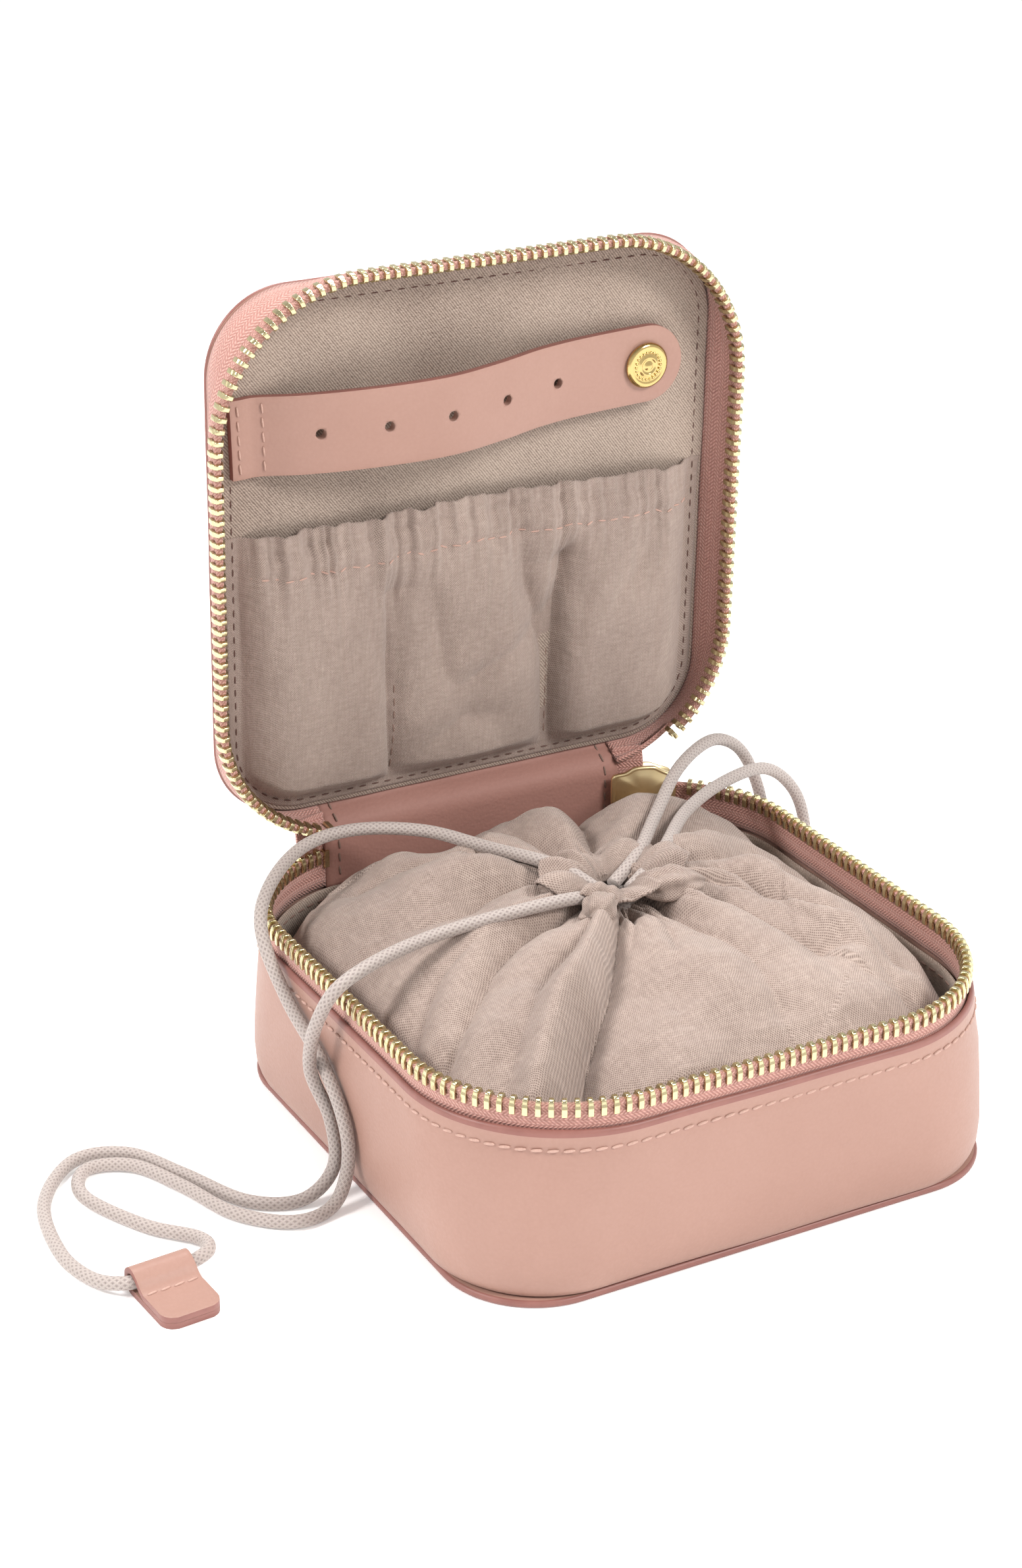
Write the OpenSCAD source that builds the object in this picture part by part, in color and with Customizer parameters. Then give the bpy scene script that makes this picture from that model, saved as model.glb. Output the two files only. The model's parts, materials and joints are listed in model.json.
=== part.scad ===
// Travel jewelry case: a zip-round leather box with a soft lid, a snap strap and gathered
// pocket inside the lid, and a drawstring pouch in the base.
// Origin: centre of the underside. +Z is up, the front faces -Y, the spine is at +Y.
// The lid is drawn standing open. Everything in it is designed with the lid shut and then swung.

/* [Box] */
// Width and depth of the leather wall at its top edge
case_w = 126; // [120:1:130]
// Height of the top edge of the leather wall
lip_z = 37.5; // [36.5:0.1:38]
// Height of the plane where the two rows of teeth mesh
zip_z = 43.2; // [43:0.1:43.6]
// Inner face of the lid lining, lid shut
lid_in_z = 52; // [51.8:0.1:52.2]
// Corner radius of the wall's top edge
lip_r = 33; // [31:1:35]
// Corner radius of the bottom and lid panels
panel_r = 19; // [16:1:20]
// Width of the bottom and lid panels
panel_w = 121; // [119:0.5:122]
// Thickness of one layer of leather
leather_t = 1.05; // [1:0.05:1.1]

/* [Zipper] */
// Spacing of the teeth along the tape
tooth_pitch = 2.4; // [2.35:0.05:2.6]
// Thickness of one tooth along the tape
tooth_t = 0.95; // [0.85:0.05:1.05]
// Half the width of the chain's centre line, across the box
chain_half = 61.4; // [61:0.1:61.6]
// Corner radius of the chain at the front
chain_rf = 33; // [31:1:34]
// Corner radius of the chain at the back
chain_rb = 31; // [31:1:32]
// Thickness of the woven tape
tape_t = 0.9; // [0.7:0.1:0.9]

/* [Spine and lid angle] */
// Width of the leather spine strip
spine_w = 72; // [70:1:73]
// How far the lid stands open
lid_open = 88; // [60:1:110]
// Distance of the spine's fold line behind the centre
fold_y = 61; // [60.9:0.1:61.1]
// Height of the spine's fold line
fold_z = 48.5; // [48.4:0.1:48.6]

/* [Strap] */
// Width of the strap
strap_w = 17; // [15:0.5:18]
// Thickness of the strap
strap_t = 1.8; // [1.6:0.1:1.8]
// Diameter of the holes that hold earrings
strap_hole_d = 2.2; // [1.6:0.1:2.6]
// Number of holes
strap_holes = 5; // [1:1:5]
// Diameter of the snap's cap
snap_d = 10; // [8:0.5:10.5]

/* [Pocket and pouch] */
// Distance of the pocket's open hem from the middle of the lid, towards the front
pocket_hem = 9; // [4:1:12]
// How far the pocket stands off the lining at its seams
pocket_t = 5.2; // [5:0.1:5.2]
// How much further its middle puffs out
pocket_puff = 2; // [1.8:0.1:3]
// Half width of the pouch's body
pouch_half = 57; // [54:0.5:57]
// Height of the pouch's body where the gathered top begins
pouch_side_z = 36; // [34:1:37]
// Diameter of the drawstring cords
cord_d = 2.8; // [2.4:0.1:2.8]

/* [Hidden] */
$fn = 48;

leather = "#cfa295";
leather_dark = "#b8837c";
suede = "#a8968b";
linen = "#cbbbb1";
gold = "#d8c07a";
tape_pink = "#c48f8b";
cord_grey = "#c3b0ac";
board_grey = "#8d8680";

half_w = case_w / 2;
panel_half = panel_w / 2;
base_floor_z = 5;
wall_foot_z = 1.6;
corner_steps = 9;
head_reach = 0.28;
tape_top_z = 41.2;
spine_half = spine_w / 2;
outer_spine_half = 33;
zip_left_x = -37.5;
zip_right_x = 50.8;
strap_tilt = -2;
strap_pivot = [-50.5, 51];
strap_root = [-56.5, -29];
snap_at = [96, 0];
slider_at = [41.8, 58.3, 42.9];
slider_yaw = -18;
pull_axis_y = 5.8;
pull_axis_z = -3;
tab_bore_z = 2.9;

// ---------- rounded-square outlines ----------

function arc_points(centre, r, from) =
    [for (i = [0:corner_steps]) let (a = from + 90 * i / corner_steps)
        centre + r * [cos(a), sin(a)]];

// Corner points of a rounded square, anticlockwise from the right side of the back
function outline(half, rf, rb) = concat(
    arc_points([half - rb, half - rb], rb, 0),
    arc_points([rb - half, half - rb], rb, 90),
    arc_points([rf - half, rf - half], rf, 180),
    arc_points([half - rf, rf - half], rf, 270));

// Length along the outline from the middle of the back to the middle of the front
function half_length(half, rf, rb) =
    (half - rb) + rb * PI / 2 + (2 * half - rf - rb) + rf * PI / 2 + (half - rf);

// Point and heading at distance s along that right-hand half
function right_point(half, rf, rb, s) =
    let (s1 = half - rb,
         s2 = s1 + rb * PI / 2,
         s3 = s2 + 2 * half - rf - rb,
         s4 = s3 + rf * PI / 2)
    s <= s1 ? [s, half, 0]
    : s <= s2 ? let (a = (s - s1) / rb * 180 / PI)
        [half - rb + rb * sin(a), half - rb + rb * cos(a), -a]
    : s <= s3 ? [half, half - rb - (s - s2), -90]
    : s <= s4 ? let (a = (s - s3) / rf * 180 / PI)
        [half - rf + rf * cos(a), rf - half - rf * sin(a), -90 - a]
    : [half - rf - (s - s4), -half, -180];

// The same all the way round, clockwise from the middle of the back
function rim_point(half, rf, rb, s) =
    let (h = half_length(half, rf, rb))
    s <= h ? right_point(half, rf, rb, s)
    : let (p = right_point(half, rf, rb, 2 * h - s)) [-p[0], p[1], -p[2]];

// Distance along the rim at which its back right corner reaches x
function rim_start(half, rb, x) =
    x <= half - rb ? x : half - rb + rb * asin((x - half + rb) / rb) * PI / 180;

// ---------- solids swept from outlines ----------

function ring_faces(rings, n) =
    [for (k = [0:rings - 1], i = [0:n - 1])
        let (a = k * n + i, b = k * n + (i + 1) % n,
             c = ((k + 1) % rings) * n + i, d = ((k + 1) % rings) * n + (i + 1) % n)
        each [[a, d, b], [a, c, d]]];

// A closed band: each entry of section is [half width, front radius, back radius, height]
module band(section) {
    rings = [for (p = section) [for (q = outline(p[0], p[1], p[2])) [q[0], q[1], p[3]]]];
    polyhedron([for (r = rings) each r], ring_faces(len(section), len(rings[0])));
}

function tube_faces(rings, n) = concat(
    [[for (i = [0:n - 1]) i]],
    [for (k = [0:rings - 2], i = [0:n - 1])
        let (a = k * n + i, b = k * n + (i + 1) % n)
        each [[a, a + n, b], [b, a + n, b + n]]],
    [[for (i = [n - 1:-1:0]) (rings - 1) * n + i]]);

// A closed strip: sections is a list of equal rings of points, capped at both ends
module swept(sections) {
    n = len(sections[0]);
    polyhedron([for (s = sections) each s], tube_faces(len(sections), n), convexity = 6);
}

function scaled_rim(half, rf, rb, x0, x1, t) =
    let (s0 = rim_start(half, rb, x0),
         s1 = 2 * half_length(half, rf, rb) - rim_start(half, rb, -x1))
    rim_point(half, rf, rb, s0 + (s1 - s0) * t);

// Plate with rounded corners, exact arcs
module rounded_plate(w, r, t) {
    linear_extrude(t) {
        square([w, w - 2 * r], center = true);
        square([w - 2 * r, w], center = true);
        for (x = [-1, 1], y = [-1, 1])
            translate([x, y] * (w / 2 - r)) circle(r);
    }
}

// Puts a piece drawn for the shut lid where it is with the lid open
module on_lid() {
    translate([0, fold_y, fold_z]) rotate([-lid_open, 0, 0])
        translate([0, -fold_y, -fold_z]) children();
}

// ---------- base ----------

module bottom_panel() {
    color(leather_dark) rounded_plate(panel_w, panel_r, wall_foot_z - 0.05);
}

module base_board() {
    color(board_grey) translate([0, 0, wall_foot_z]) rounded_plate(case_w - 8, panel_r, 1.4);
}

// Outer face of the leather wall, bottom to top
wall_levels = [[61.9, 24, 24, wall_foot_z], [62.9, 27, 27, 14], [63, 30, 30, 26],
               [63, lip_r + 1, 32, lip_z]];

function inset(levels, d) = [for (p = levels) [p[0] - d, p[1] - d, p[2] - d, p[3]]];

function reversed(list) = [for (i = [len(list) - 1:-1:0]) list[i]];

module base_wall_leather() {
    color(leather) band(concat(wall_levels, reversed(inset(wall_levels, leather_t))));
}

module base_wall_board() {
    outer = inset(wall_levels, leather_t + 0.05);
    inner = inset(wall_levels, leather_t + 1.1);
    color(board_grey) band([
        [outer[0][0], outer[0][1], outer[0][2], 3.1],
        outer[1],
        outer[2],
        inner[2],
        inner[1],
        [inner[0][0], inner[0][1], inner[0][2], 3.1]]);
}

module base_lining_wall() {
    outer = inset(wall_levels, leather_t + 1.15);
    inner = inset(wall_levels, leather_t + 1.95);
    color(suede) band([
        [outer[0][0], outer[0][1], outer[0][2], 3.1],
        outer[1],
        outer[2],
        [60.75, 31, 29.5, 33.5],
        [59.95, 30.2, 28.7, 33.5],
        inner[2],
        inner[1],
        [inner[0][0], inner[0][1], inner[0][2], 3.1]]);
}

module base_floor_pad() {
    color(board_grey) translate([0, 0, 3.05]) rounded_plate(116, panel_r + 1, 1.1);
}

module base_lining_floor() {
    color(suede) translate([0, 0, 4.2]) rounded_plate(116, panel_r + 1, base_floor_z - 4.2);
}

// ---------- zipper ----------

tape_rings = 160;
chain_foot = 2 * zip_z - tape_top_z;
over_slider_z = 47.3;

function chain_at(u) =
    scaled_rim(chain_half, chain_rf, chain_rb, spine_half + 0.3, -spine_half - 0.3, u);

function panel_edge_at(u) =
    scaled_rim(panel_half - 1, panel_r, panel_r, spine_half + 0.3, -spine_half - 0.3, u);

// Point at height z on the face of a tape whose centre line passes p, on the side given by d
function tape_face(p, d, z) = [p[0] - sin(p[2]) * d, p[1] + cos(p[2]) * d, z];

module base_zip_tape() {
    t = tape_t / 2;
    color(tape_pink) swept([for (k = [0:tape_rings])
        let (p = chain_at(k / tape_rings))
        [tape_face(p, t, 34), tape_face(p, t, tape_top_z),
         tape_face(p, -t, tape_top_z), tape_face(p, -t, 34)]]);
}

// The lid's tape stands under the chain, then leans out or in to the edge of the lid panel.
// Over the slider it stops short.
module lid_zip_tape() {
    t = tape_t / 2;
    color(tape_pink) on_lid() swept([for (k = [0:tape_rings])
        let (p = chain_at(k / tape_rings),
             q = panel_edge_at(k / tape_rings),
             over = p[0] > 0 && p[1] > 0 && p[0] < zip_right_x,
             low = over ? over_slider_z : chain_foot,
             knee = low + 2)
        [tape_face(q, t, 54.6), tape_face(q, -t, 54.6),
         tape_face(q, -t, 51.6), tape_face(p, -t, knee),
         tape_face(p, -t, low), tape_face(p, t, low),
         tape_face(p, t, knee), tape_face(q, t, 51.6)]]);
}

chain_s0 = rim_start(chain_half, chain_rb, zip_right_x);
chain_s1 = 2 * half_length(chain_half, chain_rf, chain_rb)
    - rim_start(chain_half, chain_rb, -zip_left_x);
tooth_count = floor((chain_s1 - chain_s0) / tooth_pitch);

// One tooth: two legs that clamp the tape and a head between them, meshing plane at z = 0
module tooth() {
    leg = 1.3;
    slot = 0.55;
    head = 0.8;
    rotate([90, 0, 90]) translate([0, 0, -tooth_t / 2]) linear_extrude(tooth_t)
        polygon([[-leg, -3.6], [-slot, -3.6], [-slot, -1.9], [slot, -1.9], [slot, -3.6],
                 [leg, -3.6], [leg, -1], [head, -0.65], [head, head_reach],
                 [-head, head_reach], [-head, -0.65], [-leg, -1]]);
}

module tooth_row(offset, count, up) {
    for (k = [0:count - 1]) {
        p = rim_point(chain_half, chain_rf, chain_rb, chain_s0 + (k + offset) * tooth_pitch);
        translate([p[0], p[1], zip_z]) rotate([0, 0, p[2]]) mirror([0, 0, up ? 0 : 1]) tooth();
    }
}

module base_zip_teeth() {
    color(gold) tooth_row(0.5, tooth_count, true);
}

module lid_zip_teeth() {
    color(gold) on_lid() tooth_row(1, tooth_count - 1, false);
}

// Small folded metal stop beside the spine, where a row of teeth ends
module zip_stop(up) {
    s = 2 * half_length(chain_half, chain_rf, chain_rb)
        - rim_start(chain_half, chain_rb, -zip_left_x - 0.6);
    p = rim_point(chain_half, chain_rf, chain_rb, s);
    translate([p[0], p[1], zip_z]) rotate([0, 0, p[2]]) mirror([0, 0, up ? 0 : 1])
        rotate([90, 0, 90]) translate([0, 0, -0.6]) linear_extrude(1.2)
            polygon([[-1.2, -4.2], [-0.55, -4.2], [-0.55, -1.9], [0.55, -1.9],
                     [0.55, -4.2], [1.2, -4.2], [1.2, -0.3], [-1.2, -0.3]]);
}

module base_zip_stops() {
    color(gold) zip_stop(true);
}

module lid_zip_stops() {
    color(gold) on_lid() zip_stop(false);
}

module at_slider() {
    translate(slider_at) rotate([0, 0, slider_yaw]) children();
}

module slider_plate(y) {
    translate([0, y, 0]) rotate([90, 0, 0]) linear_extrude(1)
        polygon([[-7.5, -3.9], [-7.5, 2.6], [-2.5, 3.4], [4, 3.4], [7.5, 1.4],
                 [7.5, -3.1], [3.5, -4.7], [0, -4.2], [-4, -4.7]]);
}

// Two plates, the wedge between them and the bridge that the pull hangs from
module zip_slider() {
    color(gold) at_slider() {
        slider_plate(-2.4);
        slider_plate(3.4);
        translate([4.6, 0, 0]) cube([2.6, 4.8, 2.8], center = true);
        for (x = [-3.4, 3.4])
            translate([x, pull_axis_y - 0.65, pull_axis_z]) cube([1.4, 3.5, 2.4], center = true);
        translate([-4, pull_axis_y, pull_axis_z]) rotate([0, 90, 0]) cylinder(h = 8, r = 0.9);
    }
}

module at_pull() {
    at_slider() translate([0, pull_axis_y, pull_axis_z]) children();
}

// Metal link: an eye round the bridge, a stem and a lower ring
module pull_link() {
    color(gold) at_pull() {
        difference() {
            union() {
                translate([-2.2, 0, 0]) rotate([0, 90, 0]) cylinder(h = 4.4, r = 2.1);
                translate([-2.2, -0.7, -9]) cube([4.4, 1.4, 8]);
            }
            translate([-3, 0, 0]) rotate([0, 90, 0]) cylinder(h = 6, r = 1.1);
        }
    }
}

// Folded leather tab over the link's stem
module pull_tab() {
    color(leather) at_pull() difference() {
        translate([0, 1.9, 0]) rotate([90, 0, 0]) linear_extrude(3.8) {
            translate([-4.5, -27]) square([9, 22.5]);
            translate([0, -27]) circle(4.5);
        }
        translate([-2.25, -0.75, -9.1]) cube([4.5, 1.5, 6]);
        translate([0, 3, -7]) rotate([90, 0, 0]) cylinder(h = 6, r = 1.1);
    }
}

module pull_rivet() {
    color(gold) at_pull() {
        translate([0, 2.6, -7]) rotate([90, 0, 0]) cylinder(h = 0.65, r = 1.9);
        translate([0, 2.0, -7]) rotate([90, 0, 0]) cylinder(h = 1.2, r = 1);
    }
}

// ---------- spine ----------

module spine_leaf(width, y, z0, z1) {
    translate([-width / 2, y, z0]) cube([width, leather_t, z1 - z0]);
}

module spine_inner_base() {
    color(leather) spine_leaf(spine_w, 59, 33.6, 47);
}

module spine_outer_base() {
    color(leather) spine_leaf(2 * outer_spine_half, half_w + 0.1, 26, 44.4);
}

// Rolled reinforcing cord inside the fold, on the fold line
module spine_core() {
    color(leather_dark) translate([-outer_spine_half, fold_y, fold_z]) rotate([0, 90, 0])
        cylinder(h = 2 * outer_spine_half, r = 1.2);
}

module spine_inner_lid() {
    color(leather) on_lid() spine_leaf(spine_w, 59, 50, 54.7);
}

module spine_outer_lid() {
    color(leather) on_lid() spine_leaf(2 * outer_spine_half, 60.6, 50, 56.4);
}

// ---------- lid ----------

module lid_lining() {
    color(suede) on_lid() translate([0, 0, lid_in_z]) rounded_plate(116.6, panel_r - 1, 0.8);
}

module lid_pad() {
    color(board_grey) difference() {
        on_lid() translate([0, 0, lid_in_z + 0.8]) rounded_plate(115, panel_r - 1, 0.8);
        at_snap() cylinder(h = 6, r = 3.2);
    }
}

module lid_board() {
    color(board_grey) on_lid() translate([0, 0, lid_in_z + 1.6]) rounded_plate(116, panel_r - 1, 1.1);
}

module lid_panel() {
    color(leather) on_lid() translate([0, 0, lid_in_z + 2.8]) rounded_plate(panel_w, panel_r, 1.6);
}

// ---------- gathered pocket ----------

pocket_z = lid_in_z - pocket_t;
puff_z = pocket_z - pocket_puff;
cloth_t = 0.8;
casing_y = 0;
casing_h = 5;

// Part of a rounded square from y0 back to its far edge
module pocket_area(w, r, y0, back) {
    intersection() {
        union() {
            square([w, w - 2 * r], center = true);
            square([w - 2 * r, w], center = true);
            for (x = [-1, 1], y = [-1, 1])
                translate([x, y] * (w / 2 - r)) circle(r);
        }
        translate([-w / 2, y0]) square([w, back - y0]);
    }
}

// Cloth bag open towards the front of the lid: a sewn margin and a fuller middle, with a
// stitched casing for its elastic
module pocket_gathered() {
    color(linen) on_lid() {
        difference() {
            union() {
                translate([0, 0, pocket_z]) linear_extrude(pocket_t - 0.05)
                    pocket_area(114, panel_r + 3, -pocket_hem, 57);
                translate([0, 0, puff_z]) linear_extrude(pocket_puff + 0.1)
                    pocket_area(102, panel_r + 3, -pocket_hem, 49);
            }
            translate([0, 0, pocket_z + cloth_t]) linear_extrude(pocket_t)
                pocket_area(112.4, panel_r + 2, -pocket_hem - 1, 56.2);
            translate([0, 0, puff_z + cloth_t]) linear_extrude(pocket_t)
                pocket_area(100.4, panel_r + 2, -pocket_hem - 1, 48.2);
        }
        difference() {
            translate([-49, casing_y, puff_z - 1.2]) cube([98, casing_h, 1.3]);
            translate([-50, casing_y + 0.4, puff_z - 0.85]) cube([100, casing_h - 0.8, 0.7]);
        }
    }
}

module pocket_elastic() {
    color("white") on_lid() translate([-48.5, casing_y + 0.5, puff_z - 0.8])
        cube([97, casing_h - 1, 0.6]);
}

// ---------- strap and snap ----------

// Strap frame: x along the strap from its pivot, y across it, z as in the shut lid
module at_strap() {
    on_lid() translate([strap_root[0], strap_root[1], 0]) rotate([0, 0, strap_tilt])
        translate([strap_pivot[0] - strap_root[0], 0, strap_pivot[1]]) children();
}

// Back face of the strap from the pivot to its round end, as [x, z]
strap_back = [[0, 0.9], [10, -3.2], [25, -6.9], [40, -8.3], [53, -6], [65, -2.7], [78, -1.3], [99.5, -1.1]];

function strap_outline() = concat(
    strap_back,
    [for (i = [len(strap_back) - 1:-1:0]) strap_back[i] - [0, strap_t]]);

module strap() {
    color(leather) at_strap() difference() {
        intersection() {
            union() {
                rotate([90, 0, 0]) translate([0, 0, -strap_w / 2]) linear_extrude(strap_w)
                    polygon(strap_outline());
                rotate([90, 0, 0]) cylinder(h = strap_w, r = 0.9, center = true);
            }
            union() {
                translate([-5, -strap_w / 2, -15]) cube([96, strap_w, 20]);
                translate([91, 0, -15]) cylinder(h = 20, r = strap_w / 2);
            }
        }
        for (k = [0:strap_holes - 1])
            translate([12.5 + 14 * k, 0, -15]) cylinder(h = 20, d = strap_hole_d);
        translate([snap_at[0] - 5.5, 0, -15]) cylinder(h = 20, r = 1.3);
    }
}

// The sewn end of the strap, flat on the lining
module strap_anchor() {
    color(leather) on_lid() translate([strap_root[0], strap_root[1], 0]) rotate([0, 0, strap_tilt])
        translate([0, -strap_w / 2, lid_in_z - strap_t - 0.05]) cube([5, strap_w, strap_t]);
}

module at_snap() {
    at_strap() translate([snap_at[0] - 5.5, 0, 0]) children();
}

// Domed cap on the front of the strap, with its rivet through the leather
module snap_cap() {
    color(gold) at_snap() {
        translate([0, 0, -3.05]) rotate_extrude() polygon([[0, 0], [snap_d / 2, 0],
            [snap_d / 2, -0.7], [snap_d / 2 - 0.6, -1.3], [3.2, -1.7], [0, -1.8]]);
        translate([0, 0, -3.1]) cylinder(h = 1.95, r = 1.25);
    }
}

module snap_socket() {
    color(gold) at_snap() translate([0, 0, -1.05]) difference() {
        cylinder(h = 1.1, r = 4.2);
        translate([0, 0, 0.2]) cylinder(h = 2, r = 1.8);
    }
}

module snap_stud() {
    color(gold) at_snap() {
        translate([0, 0, 0.35]) cylinder(h = 0.6, r = 3.8);
        translate([0, 0, -0.6]) cylinder(h = 1, r = 1.6);
    }
}

// Washer behind the lining that the stud is riveted to
module snap_stud_washer() {
    color(gold) at_snap() translate([0, 0, 1.82]) cylinder(h = 0.7, r = 3);
}

// ---------- pouch ----------

module pouch_bottom() {
    color(linen) translate([0, 0, base_floor_z + 0.4]) rounded_plate(2 * pouch_half - 3, 26, 1);
}

module pouch_wall() {
    h = pouch_half;
    z0 = base_floor_z + 1.5;
    color(linen) band([[h - 1, 26, 26, z0], [h, 28, 28, pouch_side_z],
                       [h - 1.2, 26.8, 26.8, pouch_side_z], [h - 2.2, 24.8, 24.8, z0]]);
}

// Gathered top: a mound that rises to the drawn mouth
module pouch_top() {
    h = pouch_half;
    z = pouch_side_z + 0.1;
    color(linen) band([[h, 28, 28, z], [h - 0.8, 29, 29, 41], [51, 31, 31, 45.5],
                       [40, 32, 32, 47.9], [25, 25, 25, 48.7], [12.2, 12.2, 12.2, 48.7],
                       [12.2, 12.2, 12.2, 47.6], [25, 25, 25, 47.5], [39.4, 32, 32, 46.6],
                       [49.9, 31, 31, 44.2], [h - 2, 28.5, 28.5, 40.5],
                       [h - 1.2, 26.8, 26.8, z]]);
}

// Ruffled cloth round the mouth, above the casing
module pouch_collar() {
    color(linen) rotate_extrude() polygon([[12, 48.8], [19, 49.8], [19.2, 50.7], [12, 49.8]]);
}

// The stretch of drawstring inside the casing
module neck_cord() {
    color(cord_grey) translate([0, 0, 47.7]) rotate_extrude() translate([10.2, 0])
        circle(d = cord_d, $fn = 24);
}

// ---------- cords ----------

// Left drawstring, from the mouth over the left rim, round a loop on the table through
// its tab, and back
left_route = [
    [-1, 4, 49.5], [-6, 13, 52.4], [-13, 30, 51], [-21, 44, 50.8], [-34, 51.5, 50.8],
    [-47, 49.5, 50.5], [-59, 40, 48.5], [-65.2, 31, 43.5], [-64.9, 20, 33], [-64.7, 4, 26],
    [-64.7, -6, 17], [-65, -7.5, 7.5], [-70, -10.5, 1.7], [-79, -11.5, 1.5], [-88, -3, 1.5],
    [-93, 11, 1.5], [-99, 23.3, 1.5], [-108, 26, 1.5], [-112, 17, 1.5], [-105.5, 1.5, 1.5],
    [-98, -8, 1.8], [-98.2, -14, 2.6], [-103, -16.9, 2.9], [-109.8, -17.4, 2.9],
    [-116.5, -17.9, 2.9], [-121.5, -12, 1.9], [-123.5, 0, 1.5], [-120, 18, 1.5], [-109, 30.5, 1.5],
    [-98, 28, 1.5], [-91, 15, 1.5], [-84, 0, 1.5], [-74, -5, 1.5], [-66.2, -3.5, 6],
    [-65, 0, 15], [-67.7, 3.3, 26], [-67.2, -0.5, 39], [-61.5, -3, 47.6], [-42, 1, 49.9],
    [-16, -1.5, 52.4], [0.5, 1, 49.5]];

// Right drawstring, over the back right rim and down behind the box, where its loop lies
right_route = [
    [3, 5, 49.5], [12, 10, 52.5], [24, 23, 53], [39, 38, 55], [53, 47.5, 55],
    [62.5, 51.5, 50.5], [69, 54, 42], [73, 55, 31], [73.5, 55, 18], [71.5, 52, 6],
    [70, 44, 1.6], [69.5, 32, 1.5], [72, 19, 1.5], [82.5, 10.5, 1.5], [94, 17, 1.5],
    [97, 32, 1.5], [98, 50, 1.5], [102, 68, 1.5], [104, 81, 1.8], [101, 89.5, 2.7],
    [96.4, 91.5, 2.9], [89.8, 91.5, 2.9], [83.2, 91.5, 2.9], [78, 88, 2.6], [76.5, 78, 1.6], [82, 64, 1.5],
    [89, 50, 1.5], [91.3, 34, 1.5], [89.5, 21, 1.5], [82.5, 16.2, 1.5], [76, 22, 1.5],
    [75.4, 34, 1.5], [77.5, 44, 2.8], [80.5, 48.5, 12], [81.5, 49, 24], [77, 47.5, 37],
    [66, 43.5, 47], [50, 36, 50.3], [33, 25, 51.2], [17, 8.5, 52.4], [5, 1.5, 49.5]];

// Point on a smooth curve through p, at fraction t of segment i
function curve_point(p, i, t) =
    let (n = len(p) - 1, a = p[max(i - 1, 0)], b = p[i], c = p[i + 1], d = p[min(i + 2, n)])
    (2 * b + (c - a) * t + (2 * a - 5 * b + 4 * c - d) * t * t
        + (3 * b - a - 3 * c + d) * t * t * t) / 2;

function curve_points(p, steps) = concat(
    [for (i = [0:len(p) - 2], k = [0:steps - 1]) curve_point(p, i, k / steps)],
    [p[len(p) - 1]]);

function unit(v) = v / norm(v);

// Ring of points round each place on the route
module cord(route, d, sides) {
    pts = curve_points(route, 2);
    last = len(pts) - 1;
    function along(i) = unit(pts[min(i + 1, last)] - pts[max(i - 1, 0)]);
    swept([for (i = [0:last])
        let (t = along(i), u = abs(t[2]) > 0.999 ? [0, 1, 0] : unit(cross([0, 0, 1], t)),
             v = cross(t, u))
        [for (k = [0:sides - 1]) let (a = -360 * k / sides)
            pts[i] + d / 2 * (u * cos(a) + v * sin(a))]]);
}

module left_cord() {
    color(cord_grey) cord(left_route, cord_d, 8);
}

module right_cord() {
    color(cord_grey) cord(right_route, cord_d, 8);
}

// Leather folded round the cord and sewn to itself: bore along x, tail towards -y
module cord_tab(length, width) {
    difference() {
        union() {
            translate([-width / 2, 0, tab_bore_z]) rotate([0, 90, 0]) cylinder(h = width, r = tab_bore_z);
            linear_extrude(2.6) {
                translate([-width / 2, 3 - length]) square([width, length - 3]);
                translate([3 - width / 2, -length]) square([width - 6, 3]);
                for (x = [-1, 1])
                    translate([x * (width / 2 - 3), 3 - length]) circle(3);
            }
        }
        translate([-width, 0, tab_bore_z]) rotate([0, 90, 0]) cylinder(h = 2 * width, r = 1.75);
        for (side = [-1, 1])
            translate([side * width / 2, 0, tab_bore_z]) rotate([0, -side * 90, 0])
                cylinder(h = 4, r1 = 2.4, r2 = 1.7);
    }
}

module left_cord_tab() {
    color(leather) translate([-109.8, -17.4, 0]) rotate([0, 0, 4]) cord_tab(15, 12.4);
}

module right_cord_tab() {
    color(leather) translate([89.8, 91.5, 0]) rotate([0, 0, 180]) cord_tab(15, 12.4);
}

bottom_panel();
base_board();
base_wall_leather();
base_wall_board();
base_lining_wall();
base_floor_pad();
base_lining_floor();
base_zip_tape();
base_zip_teeth();
base_zip_stops();
spine_inner_base();
spine_outer_base();
spine_core();
zip_slider();
pull_link();
pull_tab();
pull_rivet();
lid_panel();
lid_board();
lid_pad();
lid_lining();
lid_zip_tape();
lid_zip_teeth();
lid_zip_stops();
spine_inner_lid();
spine_outer_lid();
pocket_gathered();
pocket_elastic();
strap_anchor();
snap_stud();
snap_stud_washer();
strap();
snap_cap();
snap_socket();
pouch_bottom();
pouch_wall();
pouch_top();
pouch_collar();
neck_cord();
left_cord();
left_cord_tab();
right_cord();
right_cord_tab();
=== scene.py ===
"""Looks for the travel jewelry case: leather, cloth, zip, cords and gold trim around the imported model.

Lengths in the making are millimetres in the frame's own axes, and become metres in make_mesh().
What belongs to the lid is made for the shut lid and then swung open with open_lid().
"""

import json
import math
import random

import bmesh
import bpy
import numpy as np
from mathutils import Matrix, Vector, noise


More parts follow.
